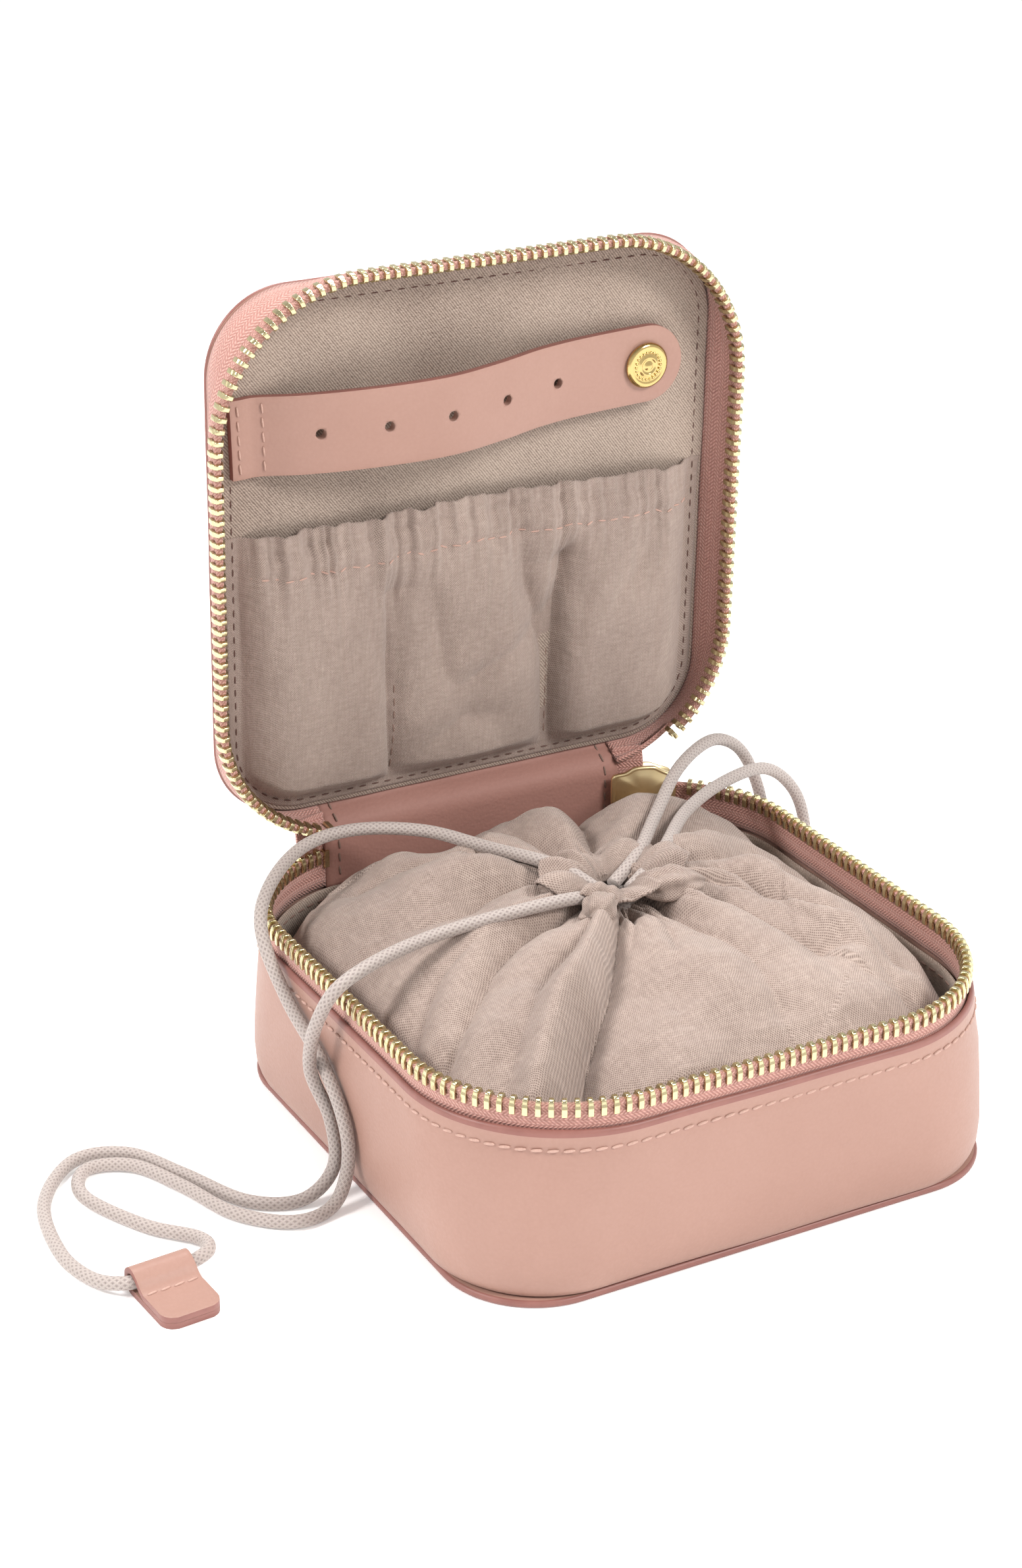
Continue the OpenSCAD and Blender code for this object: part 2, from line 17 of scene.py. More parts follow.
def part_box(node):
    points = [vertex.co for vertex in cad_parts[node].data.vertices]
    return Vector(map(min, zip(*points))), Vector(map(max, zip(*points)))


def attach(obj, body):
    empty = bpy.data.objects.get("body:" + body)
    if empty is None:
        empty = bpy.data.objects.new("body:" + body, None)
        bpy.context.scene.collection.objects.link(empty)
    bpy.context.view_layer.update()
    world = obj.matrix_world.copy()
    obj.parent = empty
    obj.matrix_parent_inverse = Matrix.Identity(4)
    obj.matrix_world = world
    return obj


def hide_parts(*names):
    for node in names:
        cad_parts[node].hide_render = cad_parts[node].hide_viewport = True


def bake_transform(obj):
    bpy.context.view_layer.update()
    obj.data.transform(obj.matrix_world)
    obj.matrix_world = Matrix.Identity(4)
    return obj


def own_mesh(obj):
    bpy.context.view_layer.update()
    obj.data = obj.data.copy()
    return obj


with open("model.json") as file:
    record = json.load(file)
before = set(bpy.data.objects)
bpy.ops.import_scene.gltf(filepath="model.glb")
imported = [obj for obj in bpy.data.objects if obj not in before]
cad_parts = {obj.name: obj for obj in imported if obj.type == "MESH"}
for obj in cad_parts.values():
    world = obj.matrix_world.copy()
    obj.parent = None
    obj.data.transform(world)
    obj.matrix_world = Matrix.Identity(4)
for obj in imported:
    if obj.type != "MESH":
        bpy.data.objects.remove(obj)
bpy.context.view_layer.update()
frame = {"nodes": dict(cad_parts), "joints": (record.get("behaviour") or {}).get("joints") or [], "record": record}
nodes = frame["nodes"]
record = frame["record"]
MM = 0.001
NOISE_SEED = 5
noise.seed_set(NOISE_SEED)  # without it, noise_vector() in wobble() starts from the clock


def joint(name):
    return next(j for j in frame["joints"] if j["name"] == name)


def node_box(name):
    lo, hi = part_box(name)
    return np.array(lo) / MM, np.array(hi) / MM


# ---------- camera, stage and light ----------

CAMERA_AT = Vector((-0.2886, -0.4825, 0.3320))
CAMERA_AZIMUTH, CAMERA_ELEVATION, CAMERA_ROLL = 28.75, 24.59, 0.21


def add_camera():
    data = bpy.data.cameras.new("camera")
    data.lens, data.sensor_width = 70.2, 36.0
    camera = bpy.data.objects.new("camera", data)
    bpy.context.scene.collection.objects.link(camera)
    a, e = math.radians(CAMERA_AZIMUTH), math.radians(CAMERA_ELEVATION)
    forward = Vector((math.cos(e) * math.sin(a), math.cos(e) * math.cos(a), -math.sin(e)))
    turn = forward.to_track_quat("-Z", "Y").to_matrix().to_4x4()
    roll = Matrix.Rotation(math.radians(CAMERA_ROLL), 4, "Z")
    camera.matrix_world = Matrix.Translation(CAMERA_AT) @ turn @ roll
    bpy.context.scene.camera = camera


def add_area_light(name, at, aim, size, watts, colour):
    data = bpy.data.lights.new(name, "AREA")
    data.shape, data.size, data.energy, data.color = "DISK", size, watts, colour
    light = bpy.data.objects.new(name, data)
    light.location = at
    light.rotation_euler = (Vector(aim) - Vector(at)).to_track_quat("-Z", "Y").to_euler()
    bpy.context.scene.collection.objects.link(light)


def add_stage():
    """White studio: bright near the horizon and darker overhead, with three soft lamps."""
    world = bpy.data.worlds.new("studio")
    world.use_nodes = True
    tree = world.node_tree
    where = tree.nodes.new("ShaderNodeTexCoord")
    parts = tree.nodes.new("ShaderNodeSeparateXYZ")
    ramp = tree.nodes.new("ShaderNodeValToRGB")
    ramp.color_ramp.elements[0].position = 0.1
    ramp.color_ramp.elements[0].color = (1.0, 0.99, 0.98, 1)
    ramp.color_ramp.elements[1].position = 0.75
    ramp.color_ramp.elements[1].color = (0.42, 0.42, 0.42, 1)
    tree.links.new(where.outputs["Generated"], parts.inputs[0])
    tree.links.new(parts.outputs["Z"], ramp.inputs["Fac"])
    tree.links.new(ramp.outputs["Color"], tree.nodes["Background"].inputs["Color"])
    tree.nodes["Background"].inputs["Strength"].default_value = 1.0
    bpy.context.scene.world = world
    bpy.context.scene.view_settings.view_transform = "Standard"
    aim = (0, 0, 0.04)
    add_area_light("key", (0.42, -0.75, 0.85), aim, 0.4, 10.5, (1.0, 0.985, 0.96))
    add_area_light("left", (-0.85, 0.10, 0.75), aim, 0.3, 8.0, (1.0, 0.98, 0.96))
    add_area_light("top", (0.10, 0.35, 1.1), aim, 0.4, 9.0, (1, 1, 1))
    mesh = bpy.data.meshes.new("floor")
    r = 3.0
    mesh.from_pydata([(-r, -r, 0), (r, -r, 0), (r, r, 0), (-r, r, 0)], [], [(0, 1, 2, 3)])
    floor = bpy.data.objects.new("floor", mesh)
    bpy.context.scene.collection.objects.link(floor)
    m = Mat("floor_white", 0.9)
    m.set("Base Color", (0.95, 0.95, 0.95, 1))
    m.set("Emission Color", (1, 1, 1, 1))
    m.set("Emission Strength", 0.22)
    mesh.materials.append(m.material)


# ---------- materials ----------


def srgb(r, g, b):
    """Linear colour from 0 to 255 display values."""
    out = [(v / 255 / 12.92) if v <= 10 else ((v / 255 + 0.055) / 1.055) ** 2.4 for v in (r, g, b)]
    return (*out, 1.0)


class Mat:
    """A node material, with short ways to add textures, mixes and bump."""

    def __init__(self, name, roughness=0.5, metallic=0.0):
        self.material = bpy.data.materials.new(name)
        self.material.use_nodes = True
        self.tree = self.material.node_tree
        self.bsdf = self.tree.nodes["Principled BSDF"]
        self.set("Roughness", roughness)
        self.set("Metallic", metallic)
        self.height = None

    def set(self, socket, value):
        self.bsdf.inputs[socket].default_value = value

    def link(self, a, b):
        self.tree.links.new(a, b)

    def node(self, kind, **inputs):
        n = self.tree.nodes.new(kind)
        for key, value in inputs.items():
            self.feed(n.inputs[key.replace("_", " ")], value)
        return n

    def coords(self, kind="Object", scale=(1, 1, 1), turn=(0, 0, 0)):
        n = self.node("ShaderNodeTexCoord")
        m = self.node("ShaderNodeMapping", Vector=n.outputs[kind], Scale=scale, Rotation=turn)
        return m.outputs["Vector"]

    def noise(self, where, scale, detail=3.0, rough=0.55):
        n = self.node("ShaderNodeTexNoise", Vector=where, Scale=scale, Detail=detail, Roughness=rough)
        return n.outputs["Fac"]

    def voronoi(self, where, scale, feature="F1"):
        n = self.node("ShaderNodeTexVoronoi", Vector=where, Scale=scale)
        n.feature = feature
        return n.outputs["Distance"]

    def wave(self, where, scale, axis="X", distortion=0.0, detail=0.0, detail_scale=1.0):
        n = self.node("ShaderNodeTexWave", Vector=where, Scale=scale, Distortion=distortion, Detail=detail)
        n.inputs["Detail Scale"].default_value = detail_scale
        n.bands_direction = axis
        return n.outputs["Fac"]

    def feed(self, socket, value):
        """Gives a node's input a value, or links it to another node's output."""
        if isinstance(value, bpy.types.NodeSocket):
            self.link(value, socket)
        else:
            socket.default_value = value

    def math(self, op, a, b=0.0):
        n = self.tree.nodes.new("ShaderNodeMath")
        n.operation = op
        self.feed(n.inputs[0], a)
        self.feed(n.inputs[1], b)
        return n.outputs["Value"]

    def add(self, a, b):
        return self.math("ADD", a, b)

    def less(self, a, b):
        return self.math("SUBTRACT", a, b)

    def times(self, a, b):
        return self.math("MULTIPLY", a, b)

    def ramp(self, fac, stops):
        n = self.node("ShaderNodeValToRGB", Fac=fac)
        ends = n.color_ramp.elements
        for i, (at, colour) in enumerate(stops):
            e = ends[i] if i < 2 else ends.new(at)
            e.position, e.color = at, colour
        return n.outputs["Color"]

    def mix(self, fac, a, b):
        n = self.tree.nodes.new("ShaderNodeMix")
        n.data_type = "RGBA"
        for i, value in ((0, fac), (6, a), (7, b)):
            self.feed(n.inputs[i], value)
        return n.outputs[2]

    def colour(self, socket):
        self.link(socket, self.bsdf.inputs["Base Color"])

    def rough(self, socket, low, high):
        n = self.node("ShaderNodeMapRange", Value=socket)
        n.inputs["To Min"].default_value, n.inputs["To Max"].default_value = low, high
        self.link(n.outputs["Result"], self.bsdf.inputs["Roughness"])

    def bump(self, height, distance, strength=1.0):
        n = self.node("ShaderNodeBump", Height=height, Distance=distance, Strength=strength)
        if self.height is not None:
            self.link(self.height, n.inputs["Normal"])
        self.height = n.outputs["Normal"]
        self.link(self.height, self.bsdf.inputs["Normal"])

    def sheen(self, weight, tint, roughness=0.5):
        self.set("Sheen Weight", weight)
        self.set("Sheen Tint", tint)
        self.set("Sheen Roughness", roughness)


def leather_material(name, light, dark, grain=0.00007, roughness=(0.42, 0.58)):
    """Fine pebbled calf leather: soft colour clouds, tiny cells and faint creases."""
    m = Mat(name)
    where = m.coords()
    clouds = m.noise(where, 38, 4)
    cells = m.voronoi(where, 1500, "SMOOTH_F1")
    creases = m.noise(m.coords(scale=(1, 1, 2.2)), 420, 6, 0.7)
    base = m.mix(m.times(clouds, 0.55), light, dark)
    base = m.mix(m.times(cells, 0.22), base, dark)
    m.colour(base)
    m.rough(m.add(m.times(clouds, 0.6), m.times(cells, 0.4)), *roughness)
    m.bump(creases, grain * 1.2, 0.35)
    m.bump(cells, grain, 0.5)
    m.set("Specular IOR Level", 0.4)
    m.sheen(0.12, (1.0, 0.9, 0.85, 1), 0.4)
    return m.material


def edge_paint_material():
    """Dark rose paint on cut leather edges, slightly uneven and satin."""
    m = Mat("edge_paint")
    where = m.coords()
    blot = m.noise(where, 260, 3)
    m.colour(m.mix(blot, srgb(126, 80, 73), srgb(150, 102, 93)))
    m.rough(blot, 0.35, 0.55)
    m.bump(m.noise(where, 900, 3), 0.00006, 0.5)
    return m.material


def woven_material(name, light, dark, pitch, depth, turn):
    """Plain or twilled cloth: warp and weft threads of the given pitch in metres, with slubs."""
    m = Mat(name, 0.92)
    where = m.coords("UV", turn=(0, 0, turn))
    jitter = m.node("ShaderNodeTexNoise", Vector=where, Scale=220.0, Detail=2.0)
    shift = m.node("ShaderNodeVectorMath")
    shift.operation = "SCALE"
    m.link(jitter.outputs["Color"], shift.inputs[0])
    shift.inputs["Scale"].default_value = pitch * 0.9
    moved = m.node("ShaderNodeVectorMath")
    moved.operation = "ADD"
    m.link(where, moved.inputs[0])
    m.link(shift.outputs["Vector"], moved.inputs[1])
    spot = moved.outputs["Vector"]
    bands = math.pi / (10 * pitch)
    warp = m.wave(spot, bands, "X")
    weft = m.wave(spot, bands, "Y")
    thread = m.math("MAXIMUM", m.times(warp, 0.95), weft)
    over = m.times(m.less(warp, weft), 0.5)
    warp_slubs = m.noise(m.coords("UV", (1, 6, 1), (0, 0, turn)), 240, 4, 0.7)
    weft_slubs = m.noise(m.coords("UV", (6, 1, 1), (0, 0, turn)), 240, 4, 0.7)
    fleck = m.times(warp_slubs, weft_slubs)
    clouds = m.noise(where, 30, 3)
    tone = m.add(m.times(thread, 0.46), m.times(fleck, 0.75))
    tone = m.add(tone, m.times(m.less(clouds, 0.5), 0.35))
    m.colour(m.ramp(tone, [(0.2, dark), (0.8, light)]))
    m.bump(fleck, depth * 1.6, 0.6)
    m.bump(m.add(thread, over), depth, 0.7)
    m.sheen(0.25, (1.0, 0.95, 0.92, 1), 0.6)
    m.set("Specular IOR Level", 0.15)
    return m.material


def twill_material(name, light, dark, pitch, depth):
    """Brushed twill: fine diagonal ribs broken up by fibres, with a suede-like sheen."""
    m = Mat(name, 0.95)
    where = m.coords("UV", turn=(0, 0, math.radians(38)))
    rib = m.wave(where, math.pi / (10 * pitch), "X", 1.4, 2.0, 2.0)
    fibre = m.noise(m.coords("UV", (1, 3.5, 1), (0, 0, math.radians(38))), 900, 4, 0.75)
    speck = m.noise(m.coords("UV"), 1500, 3, 0.8)
    clouds = m.noise(m.coords("UV"), 28, 3)
    tone = m.add(m.times(rib, 0.22), m.times(fibre, 0.5))
    tone = m.add(tone, m.times(speck, 0.28))
    tone = m.add(tone, m.times(m.less(clouds, 0.5), 0.3))
    m.colour(m.ramp(tone, [(0.28, dark), (0.66, light)]))
    m.bump(rib, depth, 0.45)
    m.bump(fibre, depth, 0.6)
    m.sheen(0.3, (1.0, 0.95, 0.9, 1), 0.5)
    m.set("Specular IOR Level", 0.12)
    return m.material


def tape_material():
    """Zip tape: herringbone ribs that turn back every 1.3 mm across the tape."""
    m = Mat("zip_tape", 0.85)
    n = m.node("ShaderNodeTexCoord")
    parts = m.node("ShaderNodeSeparateXYZ", Vector=n.outputs["UV"])
    fold = m.math("PINGPONG", parts.outputs["Y"], 0.0013)
    run = m.add(parts.outputs["X"], fold)
    rib = m.math("SINE", m.times(run, 2 * math.pi / 0.00085))
    rib = m.add(m.times(rib, 0.5), 0.5)
    cross = m.math("SINE", m.times(parts.outputs["Y"], 2 * math.pi / 0.00065))
    knot = m.times(rib, m.add(m.times(cross, 0.35), 0.65))
    grit = m.noise(n.outputs["UV"], 900, 3, 0.7)
    tone = m.add(m.times(knot, 0.75), m.times(grit, 0.35))
    m.colour(m.ramp(tone, [(0.1, srgb(158, 108, 99)), (0.9, srgb(218, 170, 158))]))
    m.bump(knot, 0.00025, 0.8)
    m.sheen(0.3, (1.0, 0.85, 0.8, 1))
    return m.material


def gold_material(name="gold", roughness=(0.16, 0.3), tint=(0.66, 0.59, 0.37)):
    """Pale gold plate with a faint uneven polish."""
    m = Mat(name, 0.22, 1.0)
    where = m.coords()
    haze = m.noise(where, 320, 4)
    m.colour(m.mix(haze, (tint[0] * 0.9, tint[1] * 0.86, tint[2] * 0.76, 1), (*tint, 1)))
    m.rough(haze, *roughness)
    m.bump(m.noise(where, 700, 3), 0.00003, 0.4)
    return m.material


def cord_material():
    """Round braid: two sets of threads that cross round the cord."""
    m = Mat("cord_braid", 0.6)
    n = m.node("ShaderNodeTexCoord")
    parts = m.node("ShaderNodeSeparateXYZ", Vector=n.outputs["UV"])
    along = m.times(parts.outputs["X"], 2 * math.pi / 0.0014)
    round_ = m.times(parts.outputs["Y"], 2 * math.pi * 8)
    a = m.math("SINE", m.add(along, round_))
    b = m.math("SINE", m.less(along, round_))
    plait = m.add(m.times(m.math("MAXIMUM", a, b), 0.5), 0.5)
    ply = m.math("SINE", m.times(m.add(along, m.times(round_, 0.5)), 4.0))
    fuzz = m.noise(n.outputs["UV"], 1200, 3)
    tone = m.add(m.times(plait, 0.7), m.times(fuzz, 0.3))
    tone = m.add(tone, m.times(ply, 0.05))
    m.colour(m.ramp(tone, [(0.05, srgb(124, 112, 108)), (0.75, srgb(176, 164, 158))]))
    m.bump(plait, 0.00012, 0.7)
    m.bump(ply, 0.00005, 0.5)
    m.sheen(0.3, (1.0, 0.96, 0.94, 1))
    return m.material


def plain_material(name, light, dark, scale, depth, roughness=0.8):
    m = Mat(name, roughness)
    spots = m.noise(m.coords(), scale, 4, 0.65)
    m.colour(m.mix(spots, dark, light))
    m.bump(spots, depth, 0.6)
    return m.material


def make_materials():
    blush, blush_dark = srgb(170, 134, 121), srgb(146, 109, 96)
    return {
        "leather": leather_material("leather", blush, blush_dark),
        # Darker copy of the leather for the spine's inside: its darker colour is painted shade for that shaded
        # inside, while its higher roughness and coarser grain are the leather's own.
        "leather_inner_shaded": leather_material(
            "leather_inner_shaded", srgb(166, 122, 111), srgb(140, 99, 89), 0.00013, (0.6, 0.74)
        ),
        "edge": edge_paint_material(),
        "linen": woven_material(
            "pouch_linen", srgb(190, 171, 160), srgb(108, 90, 82), 0.00042, 0.00014, turn=math.radians(40)
        ),
        "pocket_linen": woven_material(
            "pocket_linen", srgb(186, 167, 156), srgb(112, 94, 86), 0.0004, 0.00011, turn=math.radians(32)
        ),
        "twill": twill_material("lining_twill", srgb(182, 165, 152), srgb(96, 80, 72), 0.00052, 0.00009),
        "tape": tape_material(),
        "gold": gold_material(),
        # Paler, rougher copy of the gold for the slider: its brighter tint is a painted highlight for the light
        # the polished slider catches, and its rougher polish is its own.
        "gold_lit": gold_material("gold_lit", (0.26, 0.38), (0.98, 0.82, 0.5)),
        "gold_deep": gold_material("gold_deep", (0.1, 0.2), (0.6, 0.45, 0.2)),
        "cord": cord_material(),
        "thread": plain_material("thread", srgb(206, 171, 157), srgb(160, 125, 113), 2200, 0.00006, 0.7),
        "thread_taupe": plain_material(
            "thread_taupe", srgb(150, 124, 112), srgb(104, 82, 74), 2200, 0.00006
        ),
        "stitch_dark": plain_material("stitch_dark", srgb(112, 86, 78), srgb(82, 60, 54), 2200, 0.00006),
        "board": plain_material("board", srgb(150, 140, 130), srgb(110, 102, 95), 500, 0.0001),
        "padding": plain_material("padding", srgb(225, 222, 216), srgb(196, 192, 186), 300, 0.0003),
        "elastic": plain_material("elastic", srgb(226, 222, 216), srgb(186, 180, 174), 900, 0.0002),
    }


SLOT_MATERIAL = {
    "leather": "leather",
    "leather_dark": "edge",
    "lining": "twill",
    "pouch_cloth": "linen",
    "cord": "cord",
    "zip_tape": "tape",
    "elastic": "elastic",
    "board": "board",
    "padding": "padding",
    "brass_trim": "gold",
}


def dress_cad_nodes(mats):
    for part in record["subparts"]:
        mesh = nodes[part["node"]].data
        mesh.materials.clear()
        mesh.materials.append(mats[SLOT_MATERIAL[part["material_slot"]]])


# ---------- the lid's swing ----------

HINGE = joint("lid_hinge")
LID_TURN = (
    Matrix.Translation(HINGE["pos_m"])
    @ Matrix.Rotation(-math.radians(HINGE["range_deg"][0]), 4, Vector(HINGE["axis"]))
    @ Matrix.Translation(-Vector(HINGE["pos_m"]))
)


def open_lid(piece):
    """Swings a piece made for the shut lid to where the lid stands at rest."""
    piece.data.transform(LID_TURN)
    return piece


# ---------- outlines ----------


class Rim:
    """A rounded square with its own corner radius at the front and at the back."""

    def __init__(self, half, front, back):
        self.half, self.front, self.back = half, front, back
        back_arc, front_arc = back * math.pi / 2, front * math.pi / 2
        self.run = [half - back, back_arc, 2 * half - front - back, front_arc, half - front]
        self.half_length = sum(self.run)

    def _right(self, s):
        h, f, b = self.half, self.front, self.back
        s1, s2, s3, s4 = np.cumsum(self.run)[:4]
        if s <= s1:
            return s, h, 0.0
        if s <= s2:
            a = (s - s1) / b
            return h - b + b * math.sin(a), h - b + b * math.cos(a), -a
        if s <= s3:
            return h, h - b - (s - s2), -math.pi / 2
        if s <= s4:
            a = (s - s3) / f
            return h - f + f * math.cos(a), f - h - f * math.sin(a), -math.pi / 2 - a
        return h - f - (s - s4), -h, -math.pi

    def at(self, s):
        """Point and heading at distance s clockwise from the middle of the back."""
        s = s % (2 * self.half_length)
        if s <= self.half_length:
            return self._right(s)
        x, y, a = self._right(2 * self.half_length - s)
        return -x, y, -a

    def back_right(self, x):
        """Distance at which the back right side reaches x."""
        flat = self.half - self.back
        return x if x <= flat else flat + self.back * math.asin((x - flat) / self.back)


def outline(half, front, back, arc=20, side=16):
    """Points round a rounded square, anticlockwise from the right end of its back corner."""
    corners = ((1, 1, back), (-1, 1, back), (-1, -1, front), (1, -1, front))
    points = []
    for i, (sx, sy, r) in enumerate(corners):
        cx, cy = sx * (half - r), sy * (half - r)
        for k in range(arc + 1):
            a = math.pi / 2 * (i + k / arc)
            points.append((cx + r * math.cos(a), cy + r * math.sin(a)))
        nx, ny, nr = corners[(i + 1) % 4]
        a = math.pi / 2 * (i + 1)
        end = (nx * (half - nr) + nr * math.cos(a), ny * (half - nr) + nr * math.sin(a))
        last = points[-1]
        points += [
            (last[0] + (end[0] - last[0]) * k / side, last[1] + (end[1] - last[1]) * k / side)
            for k in range(1, side)
        ]
    return np.array(points)


# ---------- meshes ----------


def make_mesh(name, verts, faces, materials, uvs=None, face_materials=None):
    """A piece from points in mm. uvs has one (u, v) in metres for each face corner."""
    mesh = bpy.data.meshes.new(name)
    mesh.from_pydata([tuple(v) for v in np.asarray(verts, float) * MM], [], [tuple(f) for f in faces])
    for m in materials:
        mesh.materials.append(m)
    if face_materials is not None:
        mesh.polygons.foreach_set("material_index", list(face_materials))
    if uvs is not None:
        layer = mesh.uv_layers.new(name="UVMap")
        layer.data.foreach_set("uv", np.asarray(uvs, np.float32).ravel())
    mesh.polygons.foreach_set("use_smooth", [True] * len(mesh.polygons))
    mesh.update()
    piece = bpy.data.objects.new(name, mesh)
    bpy.context.scene.collection.objects.link(piece)
    return piece


def distances(line):
    """Distance of each point from the first, along a line of points."""
    return np.concatenate([[0], np.cumsum(np.linalg.norm(np.diff(line, axis=0), axis=1))])


def headings(line):
    """Unit direction of a line at each of its points."""
    ahead = np.gradient(line, axis=0)
    return ahead / np.linalg.norm(ahead, axis=1)[:, None]


def grid_mesh(name, points, materials, wrap=False, loop=False, row_material=None, uv=None, flip=False):
    """A piece from rows x columns of points. wrap joins the last column to the first, and loop
    joins the last row to the first. uv is (u, v) arrays in metres, one column or row longer
    where the grid is joined; left out, they are distances along the grid."""
    points = np.asarray(points, float)
    rows, cols = points.shape[:2]
    if uv is None:
        across = points[:, list(range(cols)) + ([0] if wrap else [])]
        down = points[list(range(rows)) + ([0] if loop else [])]
        u, v = np.meshgrid(distances(across[rows // 2]) * MM, distances(down[:, cols // 2]) * MM)
    else:
        u, v = uv
    faces, uvs, mats = [], [], []
    for r in range(rows if loop else rows - 1):
        for c in range(cols if wrap else cols - 1):
            corners = [(r, c), (r + 1, c), (r + 1, c + 1), (r, c + 1)]
            if flip:
                corners.reverse()
            faces.append([(i % rows) * cols + j % cols for i, j in corners])
            uvs += [(u[i, j], v[i, j]) for i, j in corners]
            mats.append(row_material(r) if row_material else 0)
    return make_mesh(name, points.reshape(-1, 3), faces, materials, uvs, mats)


def turn_faces_outward(piece, fill=False):
    bm = bmesh.new()
    bm.from_mesh(piece.data)
    if fill:
        bmesh.ops.holes_fill(bm, edges=[e for e in bm.edges if e.is_boundary], sides=0)
    bmesh.ops.recalc_face_normals(bm, faces=bm.faces)
    bm.to_mesh(piece.data)
    bm.free()
    return piece


def close_ends(piece):
    """Fills a piece's open ends and turns its faces outward."""
    return turn_faces_outward(piece, fill=True)


def thicken(piece, thickness, offset=-1.0, edge_material=None):
    """Gives a sheet its thickness in mm, with its cut edge in another of its materials."""
    m = piece.modifiers.new("thick", "SOLIDIFY")
    m.thickness, m.offset = thickness * MM, offset
    if edge_material is not None:
        m.material_offset_rim = edge_material
    return apply_modifiers(piece)


def ribbon(name, outer, inner, materials):
    """A strip with leather faces and painted cut edges, from two grids of points in step."""
    outer, inner = np.asarray(outer, float), np.asarray(inner, float)
    rows, cols = outer.shape[:2]
    n = rows * cols
    u = distances(outer[:, cols // 2]) * MM
    v = np.linspace(0, np.linalg.norm(outer[0, -1] - outer[0, 0]), cols) * MM
    faces, uvs, mats = [], [], []

    def add(corners, where, material):
        faces.append(corners)
        uvs.extend(where)
        mats.append(material)

    def add_edge(a, b, flip, start, end):
        corners = [a, b, b + n, a + n]
        where = [(start, 0), (end, 0), (end, 0.001), (start, 0.001)]
        add(corners[::-1] if flip else corners, where, 1)

    for r in range(rows - 1):
        for c in range(cols - 1):
            a, b, d, e = r * cols + c, r * cols + c + 1, (r + 1) * cols + c + 1, (r + 1) * cols + c
            spots = [(u[r], v[c]), (u[r], v[c + 1]), (u[r + 1], v[c + 1]), (u[r + 1], v[c])]
            add([a, b, d, e], spots, 0)
            add([e + n, d + n, b + n, a + n], spots[::-1], 0)
        for c, flip in ((0, False), (cols - 1, True)):
            a, b = r * cols + c, (r + 1) * cols + c
            add_edge(a, b, flip, u[r], u[r + 1])
    for r, flip in ((0, True), (rows - 1, False)):
        for c in range(cols - 1):
            a, b = r * cols + c, r * cols + c + 1
            add_edge(a, b, flip, v[c], v[c + 1])
    points = np.concatenate([outer.reshape(-1, 3), inner.reshape(-1, 3)])
    return turn_faces_outward(make_mesh(name, points, faces, materials, uvs, mats))


def apply_modifiers(piece):
    dg = bpy.context.evaluated_depsgraph_get()
    mesh = bpy.data.meshes.new_from_object(piece.evaluated_get(dg))
    piece.modifiers.clear()
    old = piece.data
    piece.data = mesh
    bpy.data.meshes.remove(old)
    return piece


def rounded(piece, width, segments=2, angle=40):
    m = piece.modifiers.new("round", "BEVEL")
    m.width, m.segments, m.limit_method, m.angle_limit = width * MM, segments, "ANGLE", math.radians(angle)
    return apply_modifiers(piece)


def copies_mesh(name, verts, faces, matrices, material):
    """One piece of many copies of a small shape, each placed by a 4 x 4 matrix in mm."""
    verts = np.c_[np.asarray(verts, float), np.ones(len(verts))]
    all_verts = np.concatenate([(verts @ np.array(m).T)[:, :3] for m in matrices])
    n = len(verts)
    all_faces = [[i + k * n for i in f] for k in range(len(matrices)) for f in faces]
    return make_mesh(name, all_verts, all_faces, [material])


def place(at, along, up):
    """Matrix with x along the run and z along up."""
    x = Vector(along).normalized()
    y = Vector(up).cross(x).normalized()
    z = x.cross(y)
    m = Matrix((x, y, z)).transposed().to_4x4()
    m.translation = Vector(at)
    return m


def bead(length, width, height, rings=6, sides=8):
    """A long rounded bead of thread, half sunk at z = 0."""
    verts, faces = [], []
    for i in range(rings):
        a = math.pi * (i + 0.5) / rings
        for k in range(sides):
            b = 2 * math.pi * k / sides
            verts.append((
                -length / 2 * math.cos(a),
                width / 2 * math.sin(a) ** 0.6 * math.cos(b),
                height / 2 * math.sin(a) ** 0.6 * math.sin(b),
            ))
    for i in range(rings - 1):
        for k in range(sides):
            a, b = i * sides + k, i * sides + (k + 1) % sides
            faces.append((a, b, b + sides, a + sides))
    faces.append(tuple(reversed(range(sides))))
    faces.append(tuple(range((rings - 1) * sides, rings * sides)))
    return verts, faces


def stitch_line(name, run, pitch, length, material, width=0.62, slant=6.0, height=0.55):
    """Sewn stitches along a list of (point, outward direction) in mm, evenly spaced."""
    points = np.array([p for p, _ in run], float)
    ups = np.array([u for _, u in run], float)
    far = distances(points)
    count = max(1, int(far[-1] / pitch))
    matrices = []
    for k in range(count):
        s = (k + 0.5) * far[-1] / count
        at = np.array([np.interp(s, far, points[:, i]) for i in range(3)])
        ahead = np.array([np.interp(s + 0.3, far, points[:, i]) for i in range(3)])
        behind = np.array([np.interp(s - 0.3, far, points[:, i]) for i in range(3)])
        up = [np.interp(s, far, ups[:, i]) for i in range(3)]
        matrices.append(place(at, ahead - behind, up) @ Matrix.Rotation(math.radians(slant), 4, "Z"))
    verts, faces = bead(length, width, height)
    return copies_mesh(name, verts, faces, matrices, material)


def rim_run(rim, start, end, count, at):
    """Points and outward directions for stitches: at(x, y, heading) gives both at each step."""
    return [at(*rim.at(s)) for s in np.linspace(start, end, count)]


